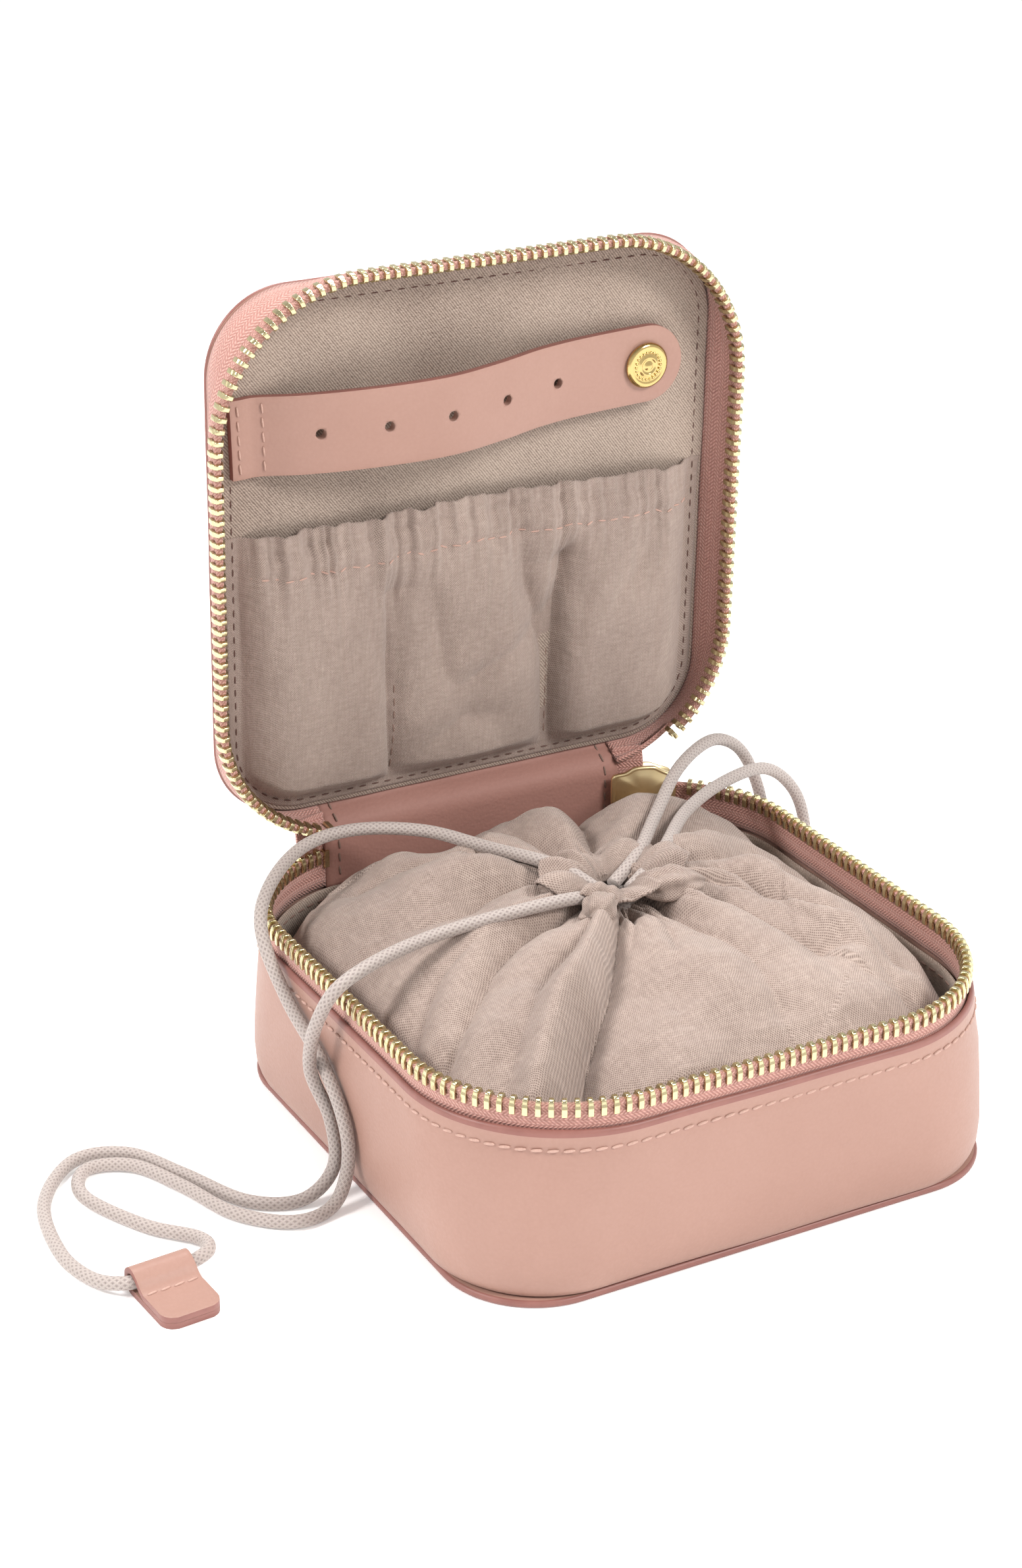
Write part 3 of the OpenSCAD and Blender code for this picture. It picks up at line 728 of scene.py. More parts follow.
def wobble(points, amount, scale, seed=0.0):
    """Small smooth noise moves of a grid of points, in mm."""
    flat = np.asarray(points, float).reshape(-1, 3)
    shift = Vector((seed, 0, 0))
    moved = [p + amount * np.array(noise.noise_vector(Vector(p) * scale + shift)) for p in flat]
    return np.array(moved).reshape(np.asarray(points).shape)


def loft(profile, arc=20, side=16):
    """Grid of points from a list of (half width, front radius, back radius, height)."""
    return [[(x, y, z) for x, y in outline(half, front, back, arc, side)] for half, front, back, z in profile]


def smooth_line(points, steps):
    """Catmull-Rom curve through points, as an array with the given steps to a span."""
    p = np.array(points, float)
    out = []
    for i in range(len(p) - 1):
        a, b, c, d = p[max(i - 1, 0)], p[i], p[i + 1], p[min(i + 2, len(p) - 1)]
        for k in range(steps):
            t = k / steps
            square = (2 * a - 5 * b + 4 * c - d) * t**2
            cube = (3 * b - a - 3 * c + d) * t**3
            out.append((2 * b + (c - a) * t + square + cube) / 2)
    out.append(p[-1])
    return np.array(out)


def finish_piece(piece, body, slot, *replaced):
    """Puts a piece on its body and hides the CAD nodes that it stands for; its finish, slot, is not used."""
    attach(piece, body)
    if replaced:
        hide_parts(*replaced)
    return piece


# ---------- drawstrings and their tabs ----------

CORD_D = 2.8

# The routes of part.scad, in mm
LEFT_ROUTE = [
    (-1, 4, 49.5), (-6, 13, 52.4), (-13, 30, 51), (-21, 44, 50.8), (-34, 51.5, 50.8),
    (-47, 49.5, 50.5), (-59, 40, 48.5), (-65.2, 31, 43.5), (-64.9, 20, 33), (-64.7, 4, 26),
    (-64.7, -6, 17), (-65, -7.5, 7.5), (-70, -10.5, 1.7), (-79, -11.5, 1.5), (-88, -3, 1.5),
    (-93, 11, 1.5), (-99, 23.3, 1.5), (-108, 26, 1.5), (-112, 17, 1.5), (-105.5, 1.5, 1.5),
    (-98, -8, 1.8), (-98.2, -14, 2.6), (-103, -16.9, 2.9), (-109.8, -17.4, 2.9),
    (-116.5, -17.9, 2.9), (-121.5, -12, 1.9), (-123.5, 0, 1.5), (-120, 18, 1.5), (-109, 30.5, 1.5),
    (-98, 28, 1.5), (-91, 15, 1.5), (-84, 0, 1.5), (-74, -5, 1.5), (-66.2, -3.5, 6),
    (-65, 0, 15), (-67.7, 3.3, 26), (-67.2, -0.5, 39), (-61.5, -3, 47.6), (-42, 1, 49.9),
    (-16, -1.5, 52.4), (0.5, 1, 49.5),
]
RIGHT_ROUTE = [
    (3, 5, 49.5), (12, 10, 52.5), (24, 23, 53), (39, 38, 55), (53, 47.5, 55),
    (62.5, 51.5, 50.5), (69, 54, 42), (73, 55, 31), (73.5, 55, 18), (71.5, 52, 6),
    (70, 44, 1.6), (69.5, 32, 1.5), (72, 19, 1.5), (82.5, 10.5, 1.5), (94, 17, 1.5),
    (97, 32, 1.5), (98, 50, 1.5), (102, 68, 1.5), (104, 81, 1.8), (101, 89.5, 2.7),
    (96.4, 91.5, 2.9), (89.8, 91.5, 2.9), (83.2, 91.5, 2.9), (78, 88, 2.6), (76.5, 78, 1.6), (82, 64, 1.5),
    (89, 50, 1.5), (91.3, 34, 1.5), (89.5, 21, 1.5), (82.5, 16.2, 1.5), (76, 22, 1.5),
    (75.4, 34, 1.5), (77.5, 44, 2.8), (80.5, 48.5, 12), (81.5, 49, 24), (77, 47.5, 37),
    (66, 43.5, 47), (50, 36, 50.3), (33, 25, 51.2), (17, 8.5, 52.4), (5, 1.5, 49.5),
]


def tube(name, line, diameter, material, sides=20):
    """A round tube along a line of points in mm, with u along it in metres and v round it."""
    line = np.asarray(line, float)
    ahead = headings(line)
    side = np.cross(ahead[0], (0, 0, 1.0))
    side /= np.linalg.norm(side)
    rings = []
    for p, t in zip(line, ahead):
        side = side - t * np.dot(side, t)
        side /= np.linalg.norm(side)
        up = np.cross(t, side)
        a = 2 * np.pi * np.arange(sides) / sides
        rings.append(p + diameter / 2 * (np.cos(a)[:, None] * side + np.sin(a)[:, None] * up))
    v, u = np.meshgrid(np.arange(sides + 1) / sides, distances(line) * MM)
    return close_ends(grid_mesh(name, rings, [material], wrap=True, uv=(u, v)))


def add_drawstring(side, route, mats):
    line = smooth_line(route, 14)
    piece = tube(side + "_drawstring", line, CORD_D, mats["cord"])
    finish_piece(piece, "pouch", "cord", side + "_cord")
    tab = add_cord_tab(side, mats)
    flatten_with_lid(piece)
    round(float(distances(line)[-1]) * MM, 3)


TAB_PLACE = {"left": (-109.8, -17.4, 4.0), "right": (89.8, 91.5, 180.0)}
TAB_LENGTH, TAB_WIDTH, TAB_EYE, TAB_T = 15.0, 12.4, 2.9, 1.3


def add_cord_tab(side, mats):
    """Leather strip folded round the cord, its two tails sewn together, with painted edges."""
    e = TAB_EYE
    top = [(-TAB_LENGTH, 2 * TAB_T), (-12, 2 * TAB_T), (-9, 2.65), (-6.6, 2.7), (-5.2, 2.75),
           (-4.0, 3.4), (-2.9, 4.5)]
    turns = [math.radians(a) for a in range(120, -100, -15)]
    fold = [(e * math.cos(a), e + e * math.sin(a)) for a in turns]
    foot = [(-3, 0), (-6, 0), (-9, 0), (-12, 0), (-TAB_LENGTH, 0)]
    path = smooth_line([(0, y, z) for y, z in top + fold + foot], 4)[:, 1:]
    ahead = headings(path)
    inner = path + TAB_T * 0.98 * np.stack([ahead[:, 1], -ahead[:, 0]], 1)
    rows_out, rows_in = [], []
    for (y, z), (yi, zi) in zip(path, inner):
        past = min(3.0, max(0.0, -y - (TAB_LENGTH - 3.0)))
        half = TAB_WIDTH / 2 - 3.0 + math.sqrt(9.0 - past**2 * 0.97)
        xs = np.linspace(-half, half, 15)
        rows_out.append([(x, y, z) for x in xs])
        rows_in.append([(x, yi, zi) for x in xs])
    piece = ribbon(side + "_drawstring_tab", rows_out, rows_in, [mats["leather"], mats["edge"]])
    rounded(piece, 0.2, 2, 50)
    x, y, turn = TAB_PLACE[side]
    spin = Matrix.Rotation(math.radians(turn), 4, "Z")
    to_place = Matrix.Translation((x * MM, y * MM, 0)) @ spin
    piece.data.transform(to_place)
    finish_piece(piece, "pouch", "leather", side + "_cord_tab")
    run = [((x, -5.4, 2.75), (0, 0, 1)) for x in np.linspace(-TAB_WIDTH / 2 + 0.5, TAB_WIDTH / 2 - 0.5, 12)]
    stitches = stitch_line(side + "_tab_stitches", run, 2.8, 2.3, mats["thread"], 0.6, 8)
    stitches.data.transform(to_place)
    finish_piece(stitches, "pouch", "cord")
    return [piece, stitches]


# ---------- box ----------

WALL_HALF = node_box("base_wall_leather")[1][0]
LIP_Z = node_box("base_wall_leather")[1][2]
FOOT_Z = node_box("base_wall_leather")[0][2]
SPINE_HALF = 36.0
ZIP_Z = 43.2
CHAIN = Rim(61.4, 33, 31)
TOOTH_PITCH = 2.4
ZIP_LEFT_X, ZIP_RIGHT_X = -37.5, 50.8
SOLE_OVERHANG = 0.6
STITCH_LEVEL, LINING_STITCH_LEVEL = 33.6, 31.6


def add_wall(mats):
    """Leather wall, turned at its top edge, with a painted rim and a line of stitches."""
    h, z = WALL_HALF, LIP_Z
    profile = [
        (60.6, 24, 24, FOOT_Z), (61.2, 24, 24, FOOT_Z + 0.4), (61.7, 24.2, 24.2, FOOT_Z + 1.6),
        (62.2, 24.6, 24.6, 5), (62.65, 25.5, 25.5, 9), (62.9, 27, 27, 14),
        (63, 28.6, 28.6, 20), (h, 30, 30, 26), (h, 32.4, 31.4, 31), (h, 33, 31.7, 33),
        (62.86, 33, 31.7, 33.6), (h, 33.2, 31.8, 34.2), (h, 33.8, 32, 36.2), (62.98, 34, 32, 36.9),
        (62.86, 34, 32, 37.25), (62.6, 33.8, 31.9, z), (62.2, 33.4, 31.5, z), (61.97, 33.1, 31, 37.2),
        (61.92, 33, 30.9, 36.4), (61.92, 32.9, 30.8, 33), (61.9, 28.9, 28.9, 26),
        (61.85, 25.9, 25.9, 14), (60.3, 23, 23, FOOT_Z + 0.3),
    ]
    points = wobble(loft(profile, 26, 24), 0.22, 0.045)
    wall = grid_mesh("leather_wall", points, [mats["leather"], mats["edge"]], wrap=True, loop=True,
                     row_material=lambda r: 1 if 12 <= r <= 17 else 0)
    finish_piece(wall, "base", "leather", "base_wall_leather")
    rim = Rim(h, 33, 31.7)
    s0, s1 = rim.back_right(37), 2 * rim.half_length - rim.back_right(37)
    run = rim_run(rim, s0, s1, 400, lambda x, y, a: (
        (x - 0.02 * math.sin(a), y, STITCH_LEVEL), (-math.sin(a), math.cos(a), 0)))
    stitches = stitch_line("wall_stitches", run, 3.05, 2.25, mats["thread"], 0.66, 7, 0.6)
    finish_piece(stitches, "base", "leather")


def add_sole(mats):
    """Bottom panel with a rounded, painted edge."""
    far_corner = node_box("bottom_panel")[1]
    h, top = far_corner[0] + SOLE_OVERHANG, far_corner[2]
    profile = [(h - 3, 16, 16, 0.02), (h - 0.5, 19.5, 19.5, 0.02), (h - 0.1, 19.9, 19.9, 0.25),
               (h, 20, 20, 0.7), (h, 20, 20, 1.1), (h - 0.15, 19.9, 19.9, 1.45), (h - 0.6, 19.4, 19.4, top),
               (h - 4, 15, 15, top)]
    sole = grid_mesh("sole", loft(profile, 20, 10), [mats["leather"], mats["edge"]], wrap=True, loop=False,
                     row_material=lambda r: 1 if 1 <= r <= 5 else 0)
    close_ends(sole)
    finish_piece(sole, "base", "leather_dark", "bottom_panel")


def tape_rows(levels):
    """Points of a strip along the zip. Each level is (rim, offset outward, height)."""
    n = 300
    rows = []
    for rim, off, z in levels:
        s0 = rim.back_right(SPINE_HALF + 0.3)
        s1 = 2 * rim.half_length - s0
        row = []
        for s in np.linspace(s0, s1, n):
            x, y, a = rim.at(s)
            row.append((x - math.sin(a) * off, y + math.cos(a) * off, z(x, y) if callable(z) else z))
        rows.append(row)
    return rows


def add_tape(name, levels, body, node, mats, swing=False):
    piece = close_ends(grid_mesh(name, tape_rows(levels), [mats["tape"]], loop=True))
    if swing:
        open_lid(piece)
    return finish_piece(piece, body, "zip_tape", node)


def add_tapes(mats):
    t = 0.42
    base = [(CHAIN, t, 34.2), (CHAIN, t, 36.5), (CHAIN, t, 39), (CHAIN, t, 41), (CHAIN, 0.7, 42.0),
            (CHAIN, 0.7, 42.5), (CHAIN, -0.7, 42.5), (CHAIN, -0.7, 42.0), (CHAIN, -t, 41), (CHAIN, -t, 39),
            (CHAIN, -t, 36.5), (CHAIN, -t, 34.2)]
    add_tape("base_tape", base, "base", "base_zip_tape", mats)
    edge = Rim(58.5, 18.2, 18.2)

    def low(z):
        """Above the slider the tape's lower edge is cut short."""
        return lambda x, y: max(z, 47.4 + (z - 43.9) * 0.2) if 0 < x < ZIP_RIGHT_X and y > 0 else z

    bend = Rim(60.4, 27, 26)
    lid = [(CHAIN, 0.7, low(43.9)), (CHAIN, 0.7, low(44.4)), (CHAIN, t, low(45.4)), (CHAIN, t, 47.6),
           (bend, t, 49.6), (edge, t, 51.8), (edge, t, 54.6), (edge, -t, 54.6), (edge, -t, 51.8),
           (bend, -t, 49.6), (CHAIN, -t, 47.6), (CHAIN, -t, low(45.4)), (CHAIN, -0.7, low(44.4)),
           (CHAIN, -0.7, low(43.9))]
    add_tape("lid_tape", lid, "lid", "lid_zip_tape", mats, swing=True)


def tooth_shape():
    """A tooth with two legs over the tape and a rounded head, meshing plane at z = 0."""
    profile = [(-1.32, -3.0), (-0.5, -3.0), (-0.5, -1.5), (0.5, -1.5), (0.5, -3.0), (1.32, -3.0),
               (1.36, -1.3), (1.1, -0.75), (1.0, -0.2), (0.85, 0.14), (0.45, 0.34), (-0.45, 0.34),
               (-0.85, 0.14), (-1.0, -0.2), (-1.1, -0.75), (-1.36, -1.3)]
    bm = bmesh.new()
    ends = []
    for x in (-0.56, 0.56):
        ends.append([bm.verts.new((x * (0.86 if z > -0.9 else 1), y, z)) for y, z in profile])
    bm.faces.new(list(reversed(ends[0])))
    bm.faces.new(ends[1])
    n = len(profile)
    for k in range(n):
        bm.faces.new((ends[0][k], ends[0][(k + 1) % n], ends[1][(k + 1) % n], ends[1][k]))
    bmesh.ops.bevel(bm, geom=bm.edges[:], offset=0.13, segments=2, affect="EDGES", profile=0.6)
    bmesh.ops.recalc_face_normals(bm, faces=bm.faces)
    bm.verts.index_update()
    verts = [tuple(v.co) for v in bm.verts]
    faces = [[v.index for v in f.verts] for f in bm.faces]
    bm.free()
    return verts, faces


def add_teeth(mats):
    s0 = CHAIN.back_right(ZIP_RIGHT_X)
    s1 = 2 * CHAIN.half_length - CHAIN.back_right(-ZIP_LEFT_X)
    count = int((s1 - s0) / TOOTH_PITCH)
    verts, faces = tooth_shape()
    for name, first, n, up, body in (
        ("base_teeth", 0.5, count, 1, "base"),
        ("lid_teeth", -1.0, count + 1, -1, "lid"),
    ):
        matrices = []
        for k in range(n):
            x, y, a = CHAIN.at(s0 + (k + first) * TOOTH_PITCH)
            turned_to = Matrix.Translation((x, y, ZIP_Z)) @ Matrix.Rotation(a, 4, "Z")
            matrices.append(turned_to @ Matrix.Diagonal((1, 1, up, 1)))
        piece = copies_mesh(name, verts, faces, matrices, mats["gold"])
        if up < 0:
            piece.data.flip_normals()
            open_lid(piece)
        finish_piece(piece, body, "brass_trim", body + "_zip_teeth")


def add_base_lining(mats):
    """Cloth on the inside of the wall, its top edge sewn down below the tape."""
    profile = [(58.9, 21, 21, 5.2), (59.6, 24, 24, 14), (59.9, 27, 27, 26), (60.0, 30, 28.7, 32),
               (60.05, 30.5, 29, 33.6), (60.35, 30.8, 29.3, 33.9), (60.6, 31, 29.5, 33.6),
               (60.7, 31, 29.5, 32), (60.6, 28, 28, 26), (60.3, 25, 25, 14), (59.5, 22, 22, 5.2)]
    points = wobble(loft(profile, 20, 20), 0.2, 0.08, 9.0)
    piece = grid_mesh("base_lining", points, [mats["twill"]], wrap=True, loop=True)
    finish_piece(piece, "base", "lining", "base_lining_wall")
    rim = Rim(59.95, 29.9, 28.6)
    s0, s1 = rim.back_right(SPINE_HALF + 1), 2 * rim.half_length - rim.back_right(SPINE_HALF + 1)
    run = rim_run(rim, s0, s1, 300, lambda x, y, a: (
        (x, y, LINING_STITCH_LEVEL), (math.sin(a), -math.cos(a), 0)))
    stitches = stitch_line("base_lining_stitches", run, 3.2, 2.2, mats["thread_taupe"], 0.5, 0, 0.4)
    finish_piece(stitches, "base", "lining")


# ---------- spine ----------


def bend_at_fold(piece):
    """Bakes a piece's placement into its mesh."""
    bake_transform(piece)


def add_spine(mats):
    """The leather that joins box and lid, one strip that bends at the fold, with stitched sides."""
    inner = [(60.1, 33.5), (60.1, 40), (60.1, 44), (60.2, 46.2), (60.8, 48), (62.0, 49.3), (63.4, 50.2),
             (64.9, 51.1), (65.8, 52.8)]
    outer = [(70.2, 50.6), (69.2, 49.8), (67.2, 49.4), (65.3, 48.6), (64.35, 47.2), (64.2, 44.5),
             (64.2, 38), (64.2, 30), (64.2, 26)]
    inner = smooth_line(inner, 5)
    outer = smooth_line(outer[::-1], 4)
    for name, line, half, leather, waver, replaced in (
        # The inside strip takes the darker leather copy, whose colour is painted shade.
        ("spine_inside", inner, SPINE_HALF + 0.7, "leather_inner_shaded", 0.25,
         ("spine_inner_base", "spine_inner_lid", "spine_core")),
        ("spine_outside", outer, 33.0, "leather", 0.15, ("spine_outer_base", "spine_outer_lid")),
    ):
        xs = [-half + 2 * half * c / 40 for c in range(41)]
        rows = wobble([[(x, y, z) for x in xs] for y, z in line], waver, 0.09, 5.0)
        piece = grid_mesh(name, rows, [mats[leather], mats["edge"]], flip=name == "spine_inside")
        thicken(piece, 1.0, -1.0, 1)
        bend_at_fold(piece)
        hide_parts(*replaced)
    add_tape_joint(mats)
    for side, x in (("left", -SPINE_HALF + 2.6), ("right", SPINE_HALF - 2.6)):
        run = []
        for y, z in inner[2:-2]:
            sink = 0.02 if z < 47 else 0.05
            run.append(((x, y - sink, z), (0, -1, 0) if z < 46.5 else (0, -0.75, 0.66)))
        stitches = stitch_line("spine_stitches_" + side, run, 3.0, 2.1, mats["thread_taupe"], 0.5, 5)
        bend_at_fold(stitches)


def add_tape_joint(mats):
    """Short lengths of tape beside the spine that run from box to lid without teeth."""
    for name, x0, x1 in (("left", -44.0, -SPINE_HALF - 0.3), ("right", SPINE_HALF + 0.3, 43.0)):
        rows = []
        for z, out in zip(np.linspace(38.5, 51.2, 15), [0.0] * 8 + [0.15, 0.4, 0.8, 1.2, 1.6, 2.0, 2.4]):
            row = []
            for x in np.linspace(x0, x1, 16):
                px, py, a = CHAIN.at(CHAIN.back_right(abs(x)))
                row.append((math.copysign(px, x), py + 0.62 + out * 0.35, z))
            rows.append(row)
        piece = grid_mesh("tape_joint_" + name, rows, [mats["tape"]])
        thicken(piece, 0.5, 0.0)
        bend_at_fold(piece)


# ---------- lid ----------

LINING_Z = 52.0


def disc_rows(half, front, back, z_edge, rings, crown, reach):
    """Rows of points that fill a rounded square from its edge to a small ring at its centre."""
    edge = outline(half, front, back)
    rows = []
    for k in range(rings + 1):
        f = 1 - reach * k / rings
        lift = crown * (1 - f**4)
        rows.append([(x * f, y * f, z_edge + lift) for x, y in edge])
    return rows


def flat_uv(points):
    """u and v from x and y, so that a weave lies straight on a nearly flat cloth."""
    p = np.asarray(points, float)
    p = np.concatenate([p, p[:, :1]], axis=1)
    return p[..., 0] * MM, p[..., 1] * MM


def add_lid_shell(mats):
    """Padded outer leather with a turned edge."""
    lo_z, hi_z = 54.85, 56.4
    edge = [(57.9, 17.0, 17.0, lo_z), (58.8, 17.8, 17.8, lo_z + 0.05), (59.1, 18.1, 18.1, lo_z + 0.35),
            (59.0, 18, 18, lo_z + 0.7), (58.6, 17.7, 17.7, hi_z - 0.35), (57.9, 17.2, 17.2, hi_z - 0.1)]
    rows = loft(edge) + disc_rows(57.0, 16.6, 16.6, hi_z, 14, 1.0, 0.97)
    rows = wobble(rows, 0.15, 0.05, 2.0)
    piece = grid_mesh("lid_leather", rows, [mats["leather"], mats["edge"]], wrap=True,
                      row_material=lambda r: 1 if r in (1, 2) else 0)
    close_ends(piece)
    finish_piece(open_lid(piece), "lid", "leather", "lid_panel")
    rim = Rim(55.8, 15, 15)
    run = rim_run(rim, 0, 2 * rim.half_length, 500, lambda x, y, a: ((x, y, hi_z + 0.2), (0, 0, 1)))
    stitches = stitch_line("lid_leather_stitches", run, 3.05, 2.3, mats["thread"], 0.6, 7, 0.5)
    finish_piece(open_lid(stitches), "lid", "leather")


def add_lid_lining(mats):
    """Cloth lining with a softly padded face and a turned edge."""
    z = LINING_Z
    edge = [(57.6, 17.5, 17.5, z + 0.75), (57.9, 17.7, 17.7, z + 0.5), (57.8, 17.7, 17.7, z + 0.15),
            (57.5, 17.5, 17.5, z)]
    rows = loft(edge, 20, 16) + disc_rows(57.0, 17.1, 17.1, z, 26, -0.35, 0.985)
    rows = wobble(rows, 0.25, 0.06, 4.0)
    piece = grid_mesh("lid_lining_cloth", rows, [mats["twill"]], wrap=True, uv=flat_uv(rows))
    open_lid(close_ends(piece))
    finish_piece(piece, "lid", "lining", "lid_lining")
    rim = Rim(55.3, 15.5, 15.5)

    def on_cloth(x, y, a):
        on_pocket = y > pocket_edges(x)[0]
        return (x, y, pocket_face(x, y) - 0.05 if on_pocket else z), (0, 0, -1)

    run = rim_run(rim, 0, 2 * rim.half_length, 500, on_cloth)
    stitches = stitch_line("lid_lining_stitches", run, 3.0, 1.6, mats["stitch_dark"], 0.36, 0, 0.4)
    finish_piece(open_lid(stitches), "lid", "lining")


# Pocket, in the shut lid's frame: the hem is towards the front and the seam towards the spine
POCKET_LEFT, POCKET_RIGHT = -57.0, 57.0
POCKET_SEAM = 56.6
DIVIDERS = (-19.4, 19.4)
COMPARTMENTS = (-38, 0, 38)
CASING_T = 0.145


def hem_y(x):
    """The hem rises a little in the middle and ripples with the pleats."""
    wide = 0.7 * noise.noise(Vector((x * 0.33, 0.5, 2.0)))
    narrow = 0.3 * noise.noise(Vector((x * 0.9, 4.0, 1.0)))
    return -7.6 - 1.6 * bell(x, 4, 26) + (wide + narrow)


def bell(x, centre, width):
    return math.exp(-(((x - centre) / width) ** 2))


# Soft creases of the pocket: the line each follows, from the hem down in mm, its depth and its width
POCKET_FOLDS = [
    ([(-13, 9), (-10, 24), (-8, 38), (-3, 45)], 2.4, 2.6),
    ([(10, 8), (12, 21), (16, 31), (20, 36)], 2.6, 2.4),
    ([(-5, 42), (4, 37), (15, 33)], 2.0, 1.8),
    ([(-13, 55), (-4, 49), (7, 50)], 1.5, 2.4),
    ([(-46, 11), (-41, 22), (-33, 29)], 1.4, 2.6),
    ([(-30, 12), (-26, 26), (-22, 40)], 1.5, 2.0),
    ([(45, 10), (39, 22), (30, 31)], 1.5, 2.4),
    ([(31, 11), (27, 24), (24, 36)], 1.6, 2.0),
]


def dip(x, y, line, depth, width):
    """How deep a crease along a line is at a point: sharp on one side and gentle on the other."""
    best, side, share = 1e9, 1.0, 0.0
    for k, ((ax, ay), (bx, by)) in enumerate(zip(line[:-1], line[1:])):
        dx, dy = bx - ax, by - ay
        f = min(1.0, max(0.0, ((x - ax) * dx + (y - ay) * dy) / (dx * dx + dy * dy)))
        ox, oy = x - ax - f * dx, y - ay - f * dy
        away = math.hypot(ox, oy)
        if away < best:
            best, side, share = away, dx * oy - dy * ox, (k + f) / (len(line) - 1)
    spread = width * (1.7 if side > 0 else 1.0)
    depth *= math.sin(math.pi * (0.06 + 0.88 * share)) ** 0.7
    rise = 0.4 * depth * bell(best, 2.6 * spread, 1.3 * spread)
    return depth * math.exp(-((best / spread) ** 1.4)) - rise


def pocket_puff(x, t):
    """How far the cloth stands off the lining at x and share t of the way from hem to seam."""
    edge = min(1.0, (x - POCKET_LEFT - 3.2) / 9.0, (POCKET_RIGHT - 3.2 - x) / 9.0)
    edge = math.sin(math.pi / 2 * max(0.0, edge)) ** 0.8
    deep = min(1.0, max(0.0, (t - 0.15) / 0.12))
    crease = 0.0
    for d, depth, lean in zip(DIVIDERS, (5.0, 7.5), (-5.5, 4.0)):
        line = d + lean * (1 - t) ** 1.6 + 0.8 * math.sin(t * 7 + d)
        side = x - line
        narrow = 1.0 + 1.5 * (1 - t)
        wide = narrow * (3.2 if side * d < 0 else 1.6)
        crease -= depth * deep * math.exp(-abs(side) / wide) * (0.55 + 0.45 * math.sin(math.pi * t))
        crease += 1.3 * deep * bell(side, 6.5 * math.copysign(1, d), 4.5)
    across = min(1.0, min(abs(x - centre) for centre in COMPARTMENTS) / 19.5)
    lobe = 1 - 0.42 * deep * across**2.6
    body = 7.0 * lobe * (0.5 + 0.5 * math.sin(math.pi * min(1.0, t / 0.94)) ** 0.8)
    middle = bell(x, 0, 15)
    y = t * 64
    long_folds = 1.2 * noise.noise(Vector((x * 0.10 - t * 1.3, t * 0.8 + 2, 8.0))) * (0.5 + middle)
    slant = 1.3 * noise.noise(Vector((x * 0.09 + y * 0.06, y * 0.075 - x * 0.05, 12.0)))
    body_folds = (long_folds + slant * (0.35 + 0.9 * middle)) * math.sin(math.pi * t) ** 0.6
    soft_folds = -sum(dip(x, y, *fold) for fold in POCKET_FOLDS)
    gather = math.exp(-(((t - 0.13) / 0.13) ** 2))
    frill = math.exp(-((t / 0.09) ** 2))
    tight = 0.35 + 1.3 * abs(noise.noise(Vector((x * 0.07, 3.0, 0)))) * 2
    pleat = noise.noise(Vector((x * 0.26 + 7, t * 0.9, 1.7)))
    pleat += 0.45 * noise.noise(Vector((x * 0.7, t * 1.2, 5.0)))
    ruffle = (2.6 * gather + 2.2 * frill) * pleat * tight
    cinch = -0.9 * bell(t, 0.06, 0.018) - 0.9 * bell(t, CASING_T, 0.02)
    lift = 0.9 + body + body_folds + ruffle + (crease + soft_folds) + cinch
    lift = lift * (0.72 + 0.28 * min(1.0, t / 0.1))
    seam = min(1.0, max(0.0, (0.96 - t) / 0.05))
    return max(0.0, 7.6 * math.tanh(lift / 6.6) * edge * seam**0.6) + 0.25


def pocket_edges(x):
    """The hem and the seam at x: the seam follows the lining's round corners."""
    corner = 17.0
    flat = POCKET_RIGHT - corner
    far = POCKET_SEAM
    if abs(x) > flat:
        far = POCKET_SEAM - corner + math.sqrt(max(0.0, corner**2 - (abs(x) - flat) ** 2))
    return hem_y(x), far


def pocket_face(x, y):
    top, far = pocket_edges(x)
    return LINING_Z - pocket_puff(x, min(1.0, max(0.0, (y - top) / (far - top))))


def add_pocket(mats):
    """Gathered pocket: a ruffled heading, a stitched casing and three compartments."""
    cols, rows = 281, 121
    points = []
    for r in range(rows):
        t = r / (rows - 1)
        row = []
        for c in range(cols):
            x = POCKET_LEFT + (POCKET_RIGHT - POCKET_LEFT) * c / (cols - 1)
            top, far = pocket_edges(x)
            y = top + (far - top) * t
            sway = 0.5 * noise.noise(Vector((x * 0.5, t * 3, 0))) * (1 - t)
            row.append((x + sway, y, LINING_Z - pocket_puff(x, t)))
        points.append(row)
    u, v = np.meshgrid(np.linspace(0, 0.19, cols), np.linspace(0, 0.067, rows))
    piece = grid_mesh("gathered_pocket", points, [mats["pocket_linen"]], uv=(u, v))
    thicken(piece, 0.6, 1.0 if piece.data.polygons[0].normal.z > 0 else -1.0)
    finish_piece(open_lid(piece), "lid", "pouch_cloth", "pocket_gathered")
    band = []
    for t in np.linspace(0.075, 0.13, 5):
        row = []
        for x in np.linspace(-48.5, 48.5, 140):
            top, far = pocket_edges(x)
            row.append((x, top + (far - top) * t, LINING_Z - max(0.4, pocket_puff(x, t) - 1.6)))
        band.append(row)
    elastic = grid_mesh("casing_elastic", band, [mats["elastic"]])
    thicken(elastic, 0.5, 0.0)
    finish_piece(open_lid(elastic), "lid", "elastic", "pocket_elastic")
    for d in DIVIDERS:
        sew_divider(d, mats)
    run = []
    for x in np.linspace(POCKET_LEFT + 4, POCKET_RIGHT - 4, 400):
        top, far = pocket_edges(x)
        y = top + (far - top) * CASING_T
        run.append(((x, y, LINING_Z - pocket_puff(x, CASING_T) - 0.05), (0, 0, -1)))
    stitches = stitch_line("pocket_casing_stitches", run, 3.0, 1.9, mats["thread"], 0.4, 0, 0.35)
    finish_piece(open_lid(stitches), "lid", "pouch_cloth")


